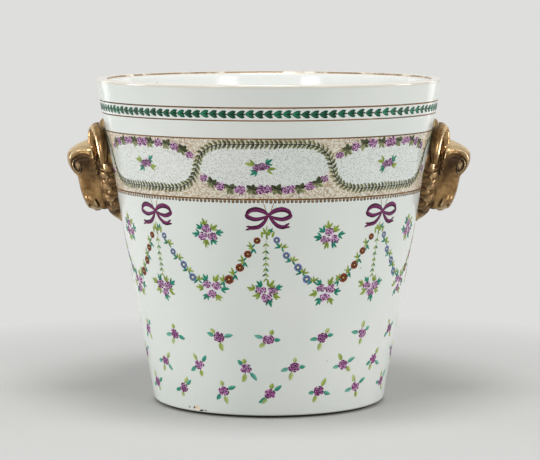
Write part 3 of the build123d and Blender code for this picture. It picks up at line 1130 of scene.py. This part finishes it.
def medallion(brush, number, start, end):
    """One oval of the guilloche: half of each strand and, where there is room, a spray in the middle."""
    laurel_strand(brush, start, end)
    rose_strand(brush, number, start, end)
    if end - start > WIDE_MEDALLION:
        shift = FIRST_SPRAY_SHIFT if number == 0 else 0
        brush.at = ((start + end) / 2 - 1.0 + shift, GUILLOCHE_MIDDLE + 0.4)
        tuft(brush, -6.0, 2.0, 150, 10.0, YELLOW_GREEN, 2)
        tuft(brush, 6.0, -2.2, -16, 9.6, YELLOW_GREEN, 2)
        tuft(brush, 5.0, 3.0, 36, 8.2, TEAL)
        tuft(brush, -4.0, -3.6, 214, 8.2, TEAL)
        rose(brush, -3.2, -0.6, 5.4, -0.2)
        rose(brush, 3.2, 0.8, 5.8, -0.15)


# Seeds of the painted bays
SWAG_SEED = 100
SPRIG_SEED = 300
LAUREL_SEED = 500
FRINGE_SEED = 700
MEDALLION_SEED = 900


def build_decoration():
    bands = [wall_band(height, thick) for height, thick in zip(LINE_HEIGHTS, LINE_WIDTHS)]
    build_rings("painted_lines", line_material(), bands)
    build_rings("rim_gold", rim_material(), [lip_band()])
    enamel = enamel_material()

    def paint(name, seed, number, bay, *places):
        brush = Brush(seed + number)
        bay(brush, *places)
        brush.finish(f"{name}_{number}", enamel)

    ring = (BOW_ANGLES[-1] - 360, *BOW_ANGLES, BOW_ANGLES[0] + 360)
    for number, neighbours in enumerate(zip(ring, ring[1:], ring[2:])):
        paint("swags", SWAG_SEED, number, swag_bay, *neighbours)
    for number in range(BAYS):
        paint("sprigs", SPRIG_SEED, number, sprig_bay, number)
        paint("laurel_band", LAUREL_SEED, number, laurel_bay, number)
        paint("fringe", FRINGE_SEED, number, fringe_bay, number)
    for number, (start, end) in enumerate(zip(CROSSINGS, CROSSINGS[1:])):
        paint("medallion", MEDALLION_SEED, number, medallion, number, start, end)


# Ram's heads: u is the reach off the wall, v sideways and h up from the mask's foot, in millimetres

GRID = 0.6
GRID_LOW = (-6.2, -36.5, -2.0)
GRID_HIGH = (48.6, 36.6, 107.0)
BACK_SINK = 1.2
CORNERS = [(i, j, k) for i in (0, 1) for j in (0, 1) for k in (0, 1)]
HEAD_ROWS = np.array([
    # height, front, back, half width
    (11.2, 25.5, 22.0, 0.6),
    (12.1, 28.3, 18.0, 4.2),
    (13.3, 31.0, 15.0, 7.6),
    (15.0, 32.8, 13.4, 9.4),
    (17.2, 34.0, 12.4, 10.8),
    (23.0, 35.6, 11.4, 12.0),
    (31.0, 37.1, 10.4, 12.3),
    (39.0, 37.4, 8.6, 13.0),
    (45.5, 37.7, 7.0, 14.6),
    (49.0, 39.4, 5.6, 16.6),
    (52.7, 42.3, 4.0, 18.6),
    (57.0, 44.4, 2.0, 20.0),
    (63.0, 45.0, 0.0, 20.8),
    (69.0, 44.0, 0.0, 19.8),
    (72.5, 42.0, 0.0, 18.4),
    (76.0, 37.4, 0.4, 16.4),
    (79.0, 31.5, 1.0, 13.8),
    (82.0, 25.0, 2.4, 9.4),
    (84.0, 20.0, 5.0, 5.0),
    (85.2, 15.0, 10.0, 0.6),
])
COLLAR_ROWS = np.array([
    # height, reach, half width
    (0.0, 1.4, 1.2),
    (4.2, 7.4, 6.4),
    (9.4, 12.2, 12.2),
    (18.8, 14.0, 18.6),
    (34.5, 15.0, 24.6),
    (50.2, 15.0, 28.6),
    (62.7, 12.8, 29.4),
    (73.2, 7.6, 25.8),
    (84.6, 4.8, 19.0),
    (95.1, 6.0, 10.6),
    (99.6, 6.4, 6.4),
    (102.4, 4.4, 3.4),
    (104.5, 1.4, 1.0),
])

# Half plans of the head as (share from back to front, share of the half width), about their middle
PLAN_MIDDLE = 0.42
BROW_PLAN = ((1.0, 0.0), (0.96, 0.36), (0.84, 0.70), (0.66, 0.92), (0.42, 1.0), (0.13, 0.78), (0.0, 0.0))
MUZZLE_PLAN = ((1.0, 0.0), (0.985, 0.34), (0.91, 0.68), (0.70, 0.93), (0.42, 1.0), (0.13, 0.9), (0.0, 0.0))


def eased(heights, rows, column):
    """Reads a column of a table at heights, with its corners eased."""
    offsets = np.linspace(-1.3, 1.3, 7)
    return sum(np.interp(heights + offset, rows[:, 0], rows[:, column]) for offset in offsets) / len(offsets)


def plan_radius(plan):
    """Radius of a half plan about its middle, by angle from the front."""
    along, across = curve(plan, 80).T
    along = along - PLAN_MIDDLE
    angle = np.arctan2(across, along)
    order = np.argsort(angle)
    return angle[order], np.hypot(along, across)[order]


BROW_RADIUS = plan_radius(BROW_PLAN)
MUZZLE_RADIUS = plan_radius(MUZZLE_PLAN)


def head_field(u, v, h):
    """Signed distance, roughly, to the bare head."""
    front, back, half = (eased(h, HEAD_ROWS, column) for column in (1, 2, 3))
    along = (u - back) / (front - back) - PLAN_MIDDLE
    across = np.abs(v) / half
    angle = np.arctan2(across, along)
    ratio = np.hypot(along, across) + 1e-4
    brow = np.interp(angle, *BROW_RADIUS)
    muzzle = np.interp(angle, *MUZZLE_RADIUS)
    blend = ramp_up(h, 38, 14)
    edge = muzzle + (brow - muzzle) * blend * blend * (3 - 2 * blend)
    far = np.hypot(along * (front - back), v)
    return np.maximum(far * (1 - edge / ratio), np.maximum(10.6 - h, h - 85.8))


def collar_size(h):
    """Reach and half width of the wool collar and its backplate."""
    return eased(h, COLLAR_ROWS, 1), eased(h, COLLAR_ROWS, 2)


def collar_field(u, v, h):
    """Signed distance, roughly, to the collar and its backplate."""
    reach, half = collar_size(h)
    ratio = np.hypot(np.maximum(u, 0) / reach, v / half) + 1e-4
    field = np.hypot(np.maximum(u, 0), v) * (1 - 1 / ratio)
    return np.maximum(field, np.maximum(-h - 0.3, h - 104.8))


def on_face(*places):
    """Points on the side of the head from (reach, height, inset), each sunk into it by its inset."""
    out = []
    v = np.linspace(0, 24, 400)
    for reach, height, inset in places:
        outside = np.nonzero(head_field(np.full_like(v, reach), v, np.full_like(v, height)) > 0)[0]
        side = v[outside[0]] if len(outside) else v[-1]
        out.append((reach, side - inset, height))
    return out


def blend_union(first, second, soft):
    mix = np.clip(0.5 + 0.5 * (second - first) / soft, 0, 1)
    return second + (first - second) * mix - soft * mix * (1 - mix)


def project(places, start, direction):
    """How far places lie from start along a direction, times its length."""
    return sum((axis - at) * part for axis, at, part in zip(places, start, direction))


class Clay:
    """Field on a grid that forms are added to and cut from."""

    def __init__(self, low, high):
        self.low = np.array(low, dtype=float)
        self.axes = [np.arange(start, end + GRID, GRID) for start, end in zip(low, high)]
        self.field = None

    def block(self, low, high):
        """Part of the grid between two corners."""
        out = []
        for axis, start, end in zip(self.axes, low, high):
            first = max(0, int((start - axis[0]) / GRID))
            last = min(len(axis), int((end - axis[0]) / GRID) + 2)
            out.append(slice(first, last))
        return tuple(out)

    def places(self, block=(slice(None),) * 3):
        return np.meshgrid(*[axis[part] for axis, part in zip(self.axes, block)], indexing="ij")

    def join(self, block, field, soft, cut=False):
        """Blends a form into a part of the grid, or out of it."""
        if cut:
            self.field[block] = -blend_union(-self.field[block], field, soft)
        else:
            self.field[block] = blend_union(self.field[block], field, soft)

    def tube(self, points, radii, soft, cut=False):
        """Adds, or cuts, a round bar through points whose radius runs through radii."""
        points = np.asarray(points, dtype=float)
        radii = np.interp(np.linspace(0, 1, len(points)), np.linspace(0, 1, len(radii)), radii)
        margin = radii.max() + 2.5 * soft + 1.5
        block = self.block(points.min(axis=0) - margin, points.max(axis=0) + margin)
        places = self.places(block)
        field = np.full(places[0].shape, 1e3)
        for start, end, radius, end_radius in zip(points, points[1:], radii, radii[1:]):
            run = end - start
            share = np.clip(project(places, start, run) / max(np.dot(run, run), 1e-9), 0, 1)
            gaps = [axis - at - share * part for axis, at, part in zip(places, start, run)]
            far = np.sqrt(sum(gap**2 for gap in gaps))
            field = np.minimum(field, far - (radius + (end_radius - radius) * share))
        self.join(block, field, soft, cut)

    def both(self, points, radii, soft, cut=False):
        """The same on both sides of the middle."""
        points = np.asarray(points, dtype=float)
        for hand in (1, -1):
            self.tube(points * (1, hand, 1), radii, soft, cut)

    def eggs(self, centre, axes, sizes, soft):
        """Adds an egg with its own axes on each side of the middle."""
        reach = max(sizes) + 3 * soft + 1.5
        for hand in (1, -1):
            flip = np.array((1, hand, 1))
            middle = centre * flip
            block = self.block(middle - reach, middle + reach)
            places = self.places(block)
            total = sum((project(places, middle, axis * flip) / size) ** 2 for axis, size in zip(axes, sizes))
            self.join(block, (np.sqrt(total) - 1) * min(sizes), soft)

    def sample(self, points):
        """Field between the grid's nodes."""
        place = np.clip((points - self.low) / GRID, 0, np.array(self.field.shape) - 1.001)
        node = place.astype(int)
        rest = place - node
        total = 0
        for corner in CORNERS:
            share = np.where(corner, rest, 1 - rest).prod(axis=1)
            total = total + share * self.field[tuple((node + corner).T)]
        return total

    def surface(self):
        """Quads of the zero surface, one point for each cell that it passes through."""
        cells = np.array(self.field.shape) - 1
        low = self.field < 0
        parts = {}
        for corner in CORNERS:
            parts[corner] = tuple(slice(start, start + size) for start, size in zip(corner, cells))
        filled = sum(low[part].astype(int) for part in parts.values())
        active = (filled > 0) & (filled < len(CORNERS))
        index = np.full(cells, -1)
        index[active] = np.arange(active.sum())
        spots = np.argwhere(active)
        values = {corner: self.field[part][active] for corner, part in parts.items()}
        place = np.zeros((len(spots), 3))
        hits = np.zeros(len(spots))
        for corner in CORNERS:
            for axis in range(3):
                if corner[axis]:
                    continue
                other = corner[:axis] + (1,) + corner[axis + 1:]
                here, there = values[corner], values[other]
                crossed = (here < 0) != (there < 0)
                point = np.tile(np.array(corner, dtype=float), (len(spots), 1))
                point[:, axis] = np.where(crossed, here / np.where(crossed, here - there, 1), 0)
                place += point * crossed[:, None]
                hits += crossed
        verts = self.low + (spots + place / hits[:, None]) * GRID
        return verts, np.vstack([self.quads(axis, cells, low, index) for axis in range(3)])

    def quads(self, axis, cells, low, index):
        """Quads across the grid's edges along one axis where the field changes sign."""
        base = [slice(1, size) for size in cells]
        base[axis] = slice(0, cells[axis])
        ahead = list(base)
        ahead[axis] = slice(1, cells[axis] + 1)
        first, second = low[tuple(base)], low[tuple(ahead)]
        crossed = np.argwhere(first != second)
        node = crossed + [0 if number == axis else 1 for number in range(3)]
        ring = []
        for one, two in ((0, 0), (-1, 0), (-1, -1), (0, -1)):
            shift = np.zeros(3, dtype=int)
            shift[(axis + 1) % 3] = one
            shift[(axis + 2) % 3] = two
            ring.append(index[tuple((node + shift).T)])
        ring = np.stack(ring, axis=1)
        inward = ~first[tuple(crossed.T)]
        ring[inward] = ring[inward][:, ::-1]
        return ring


# Forms on both sides of the face: places as (reach, height, inset), steps of a smooth curve through them
# or 0 for straight runs, radii along it, softness and whether it is cut away
CHEEK_FORMS = (
    (((25, 36, -8.4), (22, 44, -8.2)), 0, (9.2, 8.8), 3.5, True),
    (((29, 23, 1.6), (26, 21, 1.2), (23, 19.5, 1.0)), 0, (2.2, 2.6, 2.0), 4.0, False),
)
BROW_FORMS = (
    # Forehead edge that runs from the horn round the eye to the nose
    (((16.5, 70.4, 0.8), (22, 73.0, 0.8), (28, 73.4, 0.7), (34, 71.0, 0.5), (39, 66.4, 0.5),
      (41.0, 61.0, 0.5), (40.6, 55.5, 0.6), (38.4, 50.4, 0.8), (34.5, 46.8, 1.2)),
     34, (1.2, 1.7, 1.8, 1.6, 1.0), 1.5, False),
    # Socket inside it
    (((18.6, 66.0, -1.0), (24, 68.2, -0.9), (30, 67.6, -0.7), (35, 64.6, -0.6),
      (37.8, 60.0, -0.6), (37.6, 54.0, -0.8), (34.6, 49.4, -0.9)),
     30, (1.6, 2.7, 3.0, 2.6, 2.2, 1.8, 1.2), 1.1, True),
)
MOUTH_FORMS = (
    # Nostril's wing and its pit
    (((30.6, 14.4, 1.1), (31.6, 16.8, 1.0), (30.6, 19.4, 0.9), (28.2, 19.9, 1.0), (26.6, 17.8, 1.0)),
     16, (0.9, 1.3, 1.0), 1.2, False),
    (((30.0, 16.0, 0.2), (29.2, 17.0, 0.0), (28.2, 17.5, 0.2)), 0, (1.0, 1.7, 1.0), 0.4, True),
    # Lips
    (((22.6, 25.0, 0), (22.0, 21.5, 0), (20.6, 18.2, 0), (20.2, 15.2, 0)),
     14, (0.4, 1.1, 1.3, 0.8), 0.6, True),
    (((23.6, 24.4, 0.9), (23.4, 20.8, 0.7), (22.6, 17.2, 0.8)), 10, (0.8, 1.2, 0.8), 1.0, False),
    (((21.0, 15.0, 0), (24.0, 13.6, 0), (27.0, 13.0, 0)), 12, (0.8, 0.7, 0.4), 0.5, True),
)
JAW = ((16, 6.5, 17), (15.5, 7.5, 30), (14, 10, 44))
EYE_PLACE = (34.0, 57.6, 1.7)
EYE_SIZES = (3.3, 5.6, 3.0)
LID_HALF_HEIGHT = 7.4
LID_HALF_WIDTH = 4.4
BEAD_LINE = ((15.4, 64.0), (16.2, 56), (15.0, 49), (17.2, 42), (16.2, 35), (17.6, 28), (17.0, 22))
BEAD_PITCH = 2.7

# Rows of wool: turn from straight out, heights of the locks, their size and how far they swell
WOOL_ROWS = ((55, (14.5, 25, 37, 48.5, 59.5), 6.8, 0.36), (86, (19, 31, 43, 54.5), 5.8, 0.56))
CROWN_CURLS = ((0, 86.5, 2.6), (38, 83.0, 2.6), (60, 77.5, 2.8))


def model_face(clay, forms):
    for places, steps, radii, soft, cut in forms:
        points = on_face(*places)
        clay.both(curve(points, steps) if steps else points, radii, soft, cut)


def model_eye(clay):
    """Eyeball between two lids, with a crease along both edges of each lid."""
    eye = np.array(on_face(EYE_PLACE)[0])
    out = unit(np.array((0.55, 0.83, -0.05)))
    up = np.array((0.06, 0.03, 1.0))
    up = unit(up - out * np.dot(up, out))
    side = np.cross(up, out)
    clay.eggs(eye, (out, up, side), EYE_SIZES, 0.4)
    for bulge in (1, -1):
        lid = []
        for share in np.linspace(-1, 1, 13):
            bowed = 1 - share**2
            flat = up * share * LID_HALF_HEIGHT + side * bulge * LID_HALF_WIDTH * bowed**0.7
            lid.append(eye + flat + out * (0.7 + 1.3 * bowed))
        thick = 1.15 if bulge * side[0] > 0 else 0.75
        clay.both(lid, (0.45, thick, 0.45), 0.6)
        inner = [place - side * bulge * 1.1 + out * 0.5 for place in lid[2:-2]]
        clay.both(inner, (0.2, 0.55, 0.2), 0.3, True)
        outer = [place + side * bulge * 2.0 - out * 0.4 for place in lid]
        clay.both(outer, (0.3, 0.9, 0.3), 1.0, True)


def model_beads(clay):
    """Beads in two staggered lines along the edge of the fleece."""
    points = curve(BEAD_LINE, 60)
    lengths = lengths_along(points)
    for number, goal in enumerate(np.arange(0.6, lengths[-1], BEAD_PITCH)):
        reach, height = (np.interp(goal, lengths, values) for values in points.T)
        bead = on_face((reach + (0.7 if number % 2 else -0.7), height, 0.5))
        clay.both(bead * 2, (1.25,), 0.7)


def model_wool(clay):
    """Wool locks: soft pads, each with a cut fold that winds into it at one end."""
    up = np.array((0.0, 0.0, 1.0))
    for turn, heights, full, swell in WOOL_ROWS:
        cos, sin = compass(turn)
        for number, height in enumerate(heights):
            reach, half = collar_size(height)
            centre = np.array((reach * cos, half * sin, height))
            out = unit(np.array((cos / reach, sin / half, 0.0)))
            side = np.cross(up, out) * (1 if number % 2 else -1)
            size = full if height > 18 else 0.72 * full
            clay.eggs(centre - 0.1 * size * out, (out, up, side), (swell * size, size, 1.15 * size), 1.4)
            fold = []
            for share in np.linspace(0, 1, 20):
                angle = -2.8 + 4.3 * share
                wind = size * (0.95 - 0.62 * max(0.0, share - 0.35))
                flat = math.cos(angle) * side + 0.86 * math.sin(angle) * up
                fold.append(centre + wind * flat + (0.2 + 0.28 * share) * size * out)
            clay.both(fold, (0.6, 2.1, 2.2, 1.4, 0.9, 0.4), 0.6, True)


def model_crown(clay):
    """Curls of wool between the horns, each wound in to a raised middle."""
    for turn, height, size in CROWN_CURLS:
        sideways = math.sin(math.radians(turn))
        centre = np.array((21.5 - height * 0.08, 11 * sideways, height - 3.5))
        out = unit(np.array((0.5, 0.4 * sideways, 0.8)))
        up = np.array((-0.8, 0, 0.5))
        side = np.cross(up, out)
        points = []
        for share in np.linspace(0, 1, 22):
            angle = share * 2 * math.pi * 0.8 - 0.9
            radius = size * (1 - 0.8 * share)
            flat = math.cos(angle) * side + math.sin(angle) * up
            points.append(centre + radius * flat + (0.1 + 0.6 * share) * out)
        add = clay.both if turn else clay.tube
        add(points, (1.1, 1.155, 0.88), 0.4)


def model_backplate(clay):
    """Strands of the beard point, and the ribs of the plate above the head."""
    for lean in (-0.55, 0.0, 0.55):
        run = []
        for height in np.linspace(1.5, 11, 6):
            reach, half = collar_size(height)
            run.append((reach * math.cos(lean), half * math.sin(lean), height))
        clay.tube(run, (0.5, 0.9, 0.6), 0.5, True)
    clay.tube([(4.4, 0, 84), (5.6, 0, 94), (2.2, 0, 103.4)], (1.3, 1.2, 0.6), 0.8)
    clay.both([(2.6, -15, 84), (2.4, -8.2, 95), (1.0, -1.4, 103)], (0.9, 0.9, 0.5), 0.7)


def sculpt_mask():
    """Head, wool collar and pointed backplate, cut to the wall's curve."""
    clay = Clay(GRID_LOW, GRID_HIGH)
    u, v, h = clay.places()
    clay.field = blend_union(head_field(u, v, h), collar_field(u, v, h), 1.6)
    model_face(clay, CHEEK_FORMS)
    clay.both(JAW, (4.6, 5.2, 5.6), 3.0)
    model_face(clay, BROW_FORMS)
    model_eye(clay)
    model_face(clay, MOUTH_FORMS)
    model_beads(clay)
    model_wool(clay)
    model_crown(clay)
    model_backplate(clay)
    radius = wall_radius(MASK_BOTTOM + h)
    clay.field = np.maximum(clay.field, np.sqrt(radius**2 - v**2) - radius - BACK_SINK - u)
    return clay


def in_place(points, turned):
    """Wall coordinates to the right-hand mask, or half a turn on to the left-hand one."""
    height = MASK_BOTTOM + points[:, 2]
    out = np.stack((wall_radius(height) + points[:, 0], points[:, 1], height), axis=1)
    return out * (-1, -1, 1) if turned else out


def normals_of(verts, quads):
    """Vertex normals from quads."""
    corners = [verts[quads[:, n]] for n in range(4)]
    face = np.cross(corners[2] - corners[0], corners[3] - corners[1])
    out = np.zeros_like(verts)
    for n in range(4):
        np.add.at(out, quads[:, n], face)
    return out / np.maximum(np.linalg.norm(out, axis=1), 1e-9)[:, None]


# Painted shade in recesses of the face, most of it round the eye socket: reach, height, size and depth
SHADE_SPOTS = (
    (23.5, 58, 7.0, 0.75), (20, 47, 6.5, 0.5), (22, 65.5, 4.5, 0.5), (29, 65.5, 4.5, 0.65),
    (35.5, 62.5, 4.0, 0.4), (27, 61, 4.0, 0.45), (38.5, 55, 3.5, 0.35), (27, 22, 5.0, 0.2),
)


def mask_marks(clay, verts, normal):
    """Painted shade and painted highlight for each point of the mask. The eyeball has a painted highlight
    inside a ring of painted shade.
    """
    u, _, h = verts.T
    painted_shade = np.zeros(len(verts))
    # Painted shade: darker where the surface is closed in, sampled at a few distances out along the normal
    for reach, weight in ((1.6, 0.26), (3.2, 0.38), (6.0, 0.45), (9.0, 0.3)):
        painted_shade += weight * np.clip(1 - clay.sample(verts + normal * reach) / reach, 0, 1)
    painted_shade = np.clip((painted_shade - 0.18) * 1.15, 0, 0.86)
    # Painted shade on the plate behind and under the horns, next to the wall
    under_horns = ramp_up(h, 66, 6) * ramp_up(h, 99, -4) * ramp_up(u, 9, -4)
    painted_shade = np.maximum(painted_shade, 0.8 * under_horns)
    # Painted shade spots round the eye socket and cheek
    for reach, height, size, depth in SHADE_SPOTS:
        painted_shade += depth * bell(np.hypot(u - reach, h - height), size)
    # Painted highlight on the eyeball, painted shade in a ring round it
    eye = np.hypot((u - 33.6) / 2.6, (h - 57.6) / 5.2)
    painted_shade = np.clip(painted_shade * (1 - bell(eye, 0.55)) + 0.8 * bell(eye - 1.05, 0.26), 0, 0.9)
    # Painted highlight: lighter on raised edges
    painted_highlight = np.zeros(len(verts))
    for reach, weight in ((1.5, 0.3), (3.0, 0.9)):
        bend = clay.sample(verts + normal * reach) + clay.sample(verts - normal * reach)
        painted_highlight += weight * np.clip(bend / reach, 0, 1)
    # Painted highlight on the upward-facing top of the head, where the light from above falls
    crown = ramp_up(normal[:, 2], 0.3, 0.4) * ramp_up(h, 66, 4) * ramp_up(u, 16, 6)
    painted_highlight = np.clip(np.clip((painted_highlight - 0.1) * 1.3, 0, 0.8) + 0.6 * crown + 0.7 * bell(eye, 0.5), 0, 1)
    return {"painted_shade": painted_shade, "painted_highlight": painted_highlight}


def build_masks(material):
    clay = sculpt_mask()
    verts, quads = clay.surface()
    marks = mask_marks(clay, verts, normals_of(verts, quads))
    for side in ("left", "right"):
        placed = in_place(verts, side == "left")
        piece = make_piece(f"{side}_ram_head", placed, quads.tolist(), material, None, marks)
        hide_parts(f"{side}_ram_mask")


HORN_PATH = (
    (15.0, 8.0, 74.7), (13.6, 8.0, 84.5), (11.4, 9.6, 92.2), (8.8, 13.6, 95.2), (6.6, 19.4, 92.6),
    (5.4, 24.6, 85.6), (5.2, 28.2, 76.6), (5.8, 30.2, 67.6), (6.8, 30.8, 60.2),
)
HORN_RADIUS = 5.4
HORN_TIP_RADIUS = 2.0
EAR_ROOT = (17.4, 13.9, 71.6)
EAR_LENGTH = 17.0


def tube_mesh(middle, rings):
    """Closed skin over rings of points along a middle line."""
    count = len(rings[0])
    verts = np.vstack((middle[:1], np.vstack(rings), middle[-1:]))
    last = len(verts) - 1
    tail = last - count
    faces = []
    for column in range(count):
        after = (column + 1) % count
        faces.append((0, 1 + after, 1 + column))
        faces.append((last, tail + column, tail + after))
        for row in range(len(rings) - 1):
            base = 1 + row * count
            faces.append((base + column, base + after, base + count + after, base + count + column))
    return verts, faces


def off_wall(along):
    """Direction off the wall, square to along."""
    return unit(np.array((1.0, 0, 0)) - along * along[0])


def place_pair(kind, hand, middle, rings, painted_shade, painted_highlight, material):
    """One horn or ear on each mask. Half a turn takes the front one to the back."""
    verts, faces = tube_mesh(middle, rings)
    marks = {"painted_shade": np.array(painted_shade), "painted_highlight": np.array(painted_highlight)}
    for side in ("left", "right"):
        turned = side == "left"
        view = "front" if (hand < 0) != turned else "back"
        placed = in_place(verts, turned)
        piece = make_piece(f"{side}_{view}_ram_{kind}", placed, faces, material, None, marks)
        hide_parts(f"{side}_{view}_{kind}")


def build_horns(material):
    """Each horn rises beside the crown, arches out and comes down to a blunt point beside the head."""
    path = curve(HORN_PATH, 80)
    angle = np.linspace(0, 2 * math.pi, 32, endpoint=False)
    for hand in (-1, 1):
        middle = path * (1, hand, 1)
        turn = -hand * angle
        # Painted shade along the groove on the wall side and at the root; painted highlight in a band on the
        # outer side
        groove = bell(wrapped(turn - 2.2), 0.3)
        lightened = bell(wrapped(turn - 0.5), 0.42)
        rings = []
        painted_shade = [0.3]
        painted_highlight = [0.0]
        shares = np.linspace(0, 1, len(middle))
        for share, centre, along in zip(shares, middle, unit(np.gradient(middle, axis=0))):
            size = HORN_RADIUS + (HORN_TIP_RADIUS - HORN_RADIUS) * share**6
            size *= math.sqrt(1 - ramp_up(share, 0.95, 0.05) ** 2)
            first = off_wall(along)
            second = np.cross(along, first)
            ridges = 1 + 0.012 * math.sin(share * 46) * (1 - share)
            radius = max(size, 0.25) * ridges * (1 + 0.07 * np.cos(2 * turn + 0.6) - 0.12 * groove)
            around = np.cos(angle)[:, None] * first + np.sin(angle)[:, None] * second
            rings.append(centre + radius[:, None] * around)
            painted_shade += list(np.clip(0.62 * groove + 0.5 * max(0.0, 0.12 - share) / 0.12, 0, 1))
            painted_highlight += list(lightened * (0.55 + 0.35 * math.sin(share * 17 + 0.8)))
        place_pair("horn", hand, middle, rings, painted_shade + [0.1], painted_highlight + [0.5], material)


def build_ears(material):
    """Leaf-shaped ears, cupped on the face turned forwards, with painted shade in the cup and painted
    highlights along the rims.
    """
    angle = np.linspace(0, 2 * math.pi, 28, endpoint=False)
    for hand in (-1, 1):
        along = unit(np.array((-0.10, hand * 1.0, -0.36)))
        front = off_wall(along)
        across = np.cross(along, front)
        rings = []
        middle = []
        painted_shade = [0.4]
        painted_highlight = [0.0]
        for share in np.linspace(0, 1, 24):
            wide = np.interp(share, (0, 0.3, 0.55, 0.8, 0.95, 1.0), (2.75, 4.9, 5.5, 4.0, 1.6, 0.25))
            thick = np.interp(share, (0, 0.3, 0.55, 0.8, 1.0), (2.2, 2.2, 2.0, 1.6, 0.25))
            centre = np.array(EAR_ROOT) * (1, hand, 1) + along * EAR_LENGTH * share
            x = thick * np.cos(angle)
            y = wide * np.sin(angle)
            deep = thick * 1.35 * math.sin(math.pi * min(1, share * 1.05)) ** 0.7
            cup = bell(y, 0.55 * wide) * (x > 0) * deep
            rings.append(centre + (x - cup)[:, None] * front + y[:, None] * across)
            middle.append(centre)
            # Painted shade in the cup; painted highlight along the rims
            painted_shade += list(np.clip(cup / 2.6, 0, 1))
            painted_highlight += list(np.abs(np.sin(angle)) ** 6)
        place_pair("ear", hand, middle, rings, painted_shade + [0.0], painted_highlight + [0.8], material)


# Studio: places and sizes in metres, power in watts for the left and the right
FLOOR_HALF = 6.0
TOP_LAMP = ((0, -0.2, 1.2), (0, 0, 0.15), (0.35, 0.35), 6.6)
PAIRED_LAMPS = (
    # name, place on the right, target, width and height, powers
    ("side", (2.2, 0.2, 0.25), (0, 0, 0.15), (0.6, 0.5), (20, 16)),
    ("front", (1.25, -1.9, 0.95), (0, 0, 0.2), (0.5, 0.5), (9.2, 9.2)),
    ("strip", (1.25, 1.35, 0.45), (0, 0, 0.2), (0.4, 0.9), (1.3, 1.3)),
)
ROOM_LIGHT = 0.46
SENSOR_WIDTH = 36
LENS = 160.27
CAMERA_PLACE = (0.001118, -2.44684, 0.43241)
CAMERA_DOWN = 6.029


def add_object(name, data):
    holder = bpy.data.objects.new(name, data)
    bpy.context.collection.objects.link(holder)
    return holder


def build_stage():
    corners = [(x * FLOOR_HALF, y * FLOOR_HALF, 0) for x, y in ((-1, -1), (1, -1), (1, 1), (-1, 1))]
    mesh = bpy.data.meshes.new("floor")
    mesh.from_pydata(corners, [], [(0, 1, 2, 3)])
    mesh.materials.append(floor_material())
    floor = add_object("floor", mesh)


def area_light(name, place, target, size, power):
    lamp = bpy.data.lights.new(name, "AREA")
    lamp.shape = "RECTANGLE"
    lamp.size, lamp.size_y = size
    lamp.energy = power
    x, y, z = np.array(target) - np.array(place)
    tilt = math.pi / 2 + math.atan2(z, math.hypot(x, y))
    holder = add_object(name, lamp)
    holder.location = place
    holder.rotation_euler = (tilt, 0, math.atan2(y, x) - math.pi / 2)


def build_light():
    area_light("top", *TOP_LAMP)
    for side, hand in (("left", -1), ("right", 1)):
        for name, (x, y, z), target, size, powers in PAIRED_LAMPS:
            area_light(f"{name}_{side}", (hand * x, y, z), target, size, powers[hand > 0])
    nodes = Nodes(bpy.data.worlds.new("studio"))
    room = nodes.fill(nodes.tree.nodes["Background"], Color=(1.0, 1.0, 0.99, 1), Strength=ROOM_LIGHT)
    nodes.show_backdrop(room, "Background", nodes.backdrop_rays(), "World Output")
    bpy.context.scene.world = nodes.owner


def build_camera():
    camera = bpy.data.cameras.new("camera")
    camera.sensor_width = SENSOR_WIDTH
    camera.lens = LENS
    holder = add_object("camera", camera)
    holder.location = CAMERA_PLACE
    holder.rotation_euler = (math.radians(90 - CAMERA_DOWN), 0, 0)
    bpy.context.scene.camera = holder


build_camera()
build_light()
build_stage()
build_pot(glaze_material())
build_decoration()
gilding = gilt_material()
build_masks(gilding)
build_horns(gilding)
build_ears(gilding)

bpy.context.scene.view_settings.view_transform = "Standard"
bpy.context.view_layer.update()
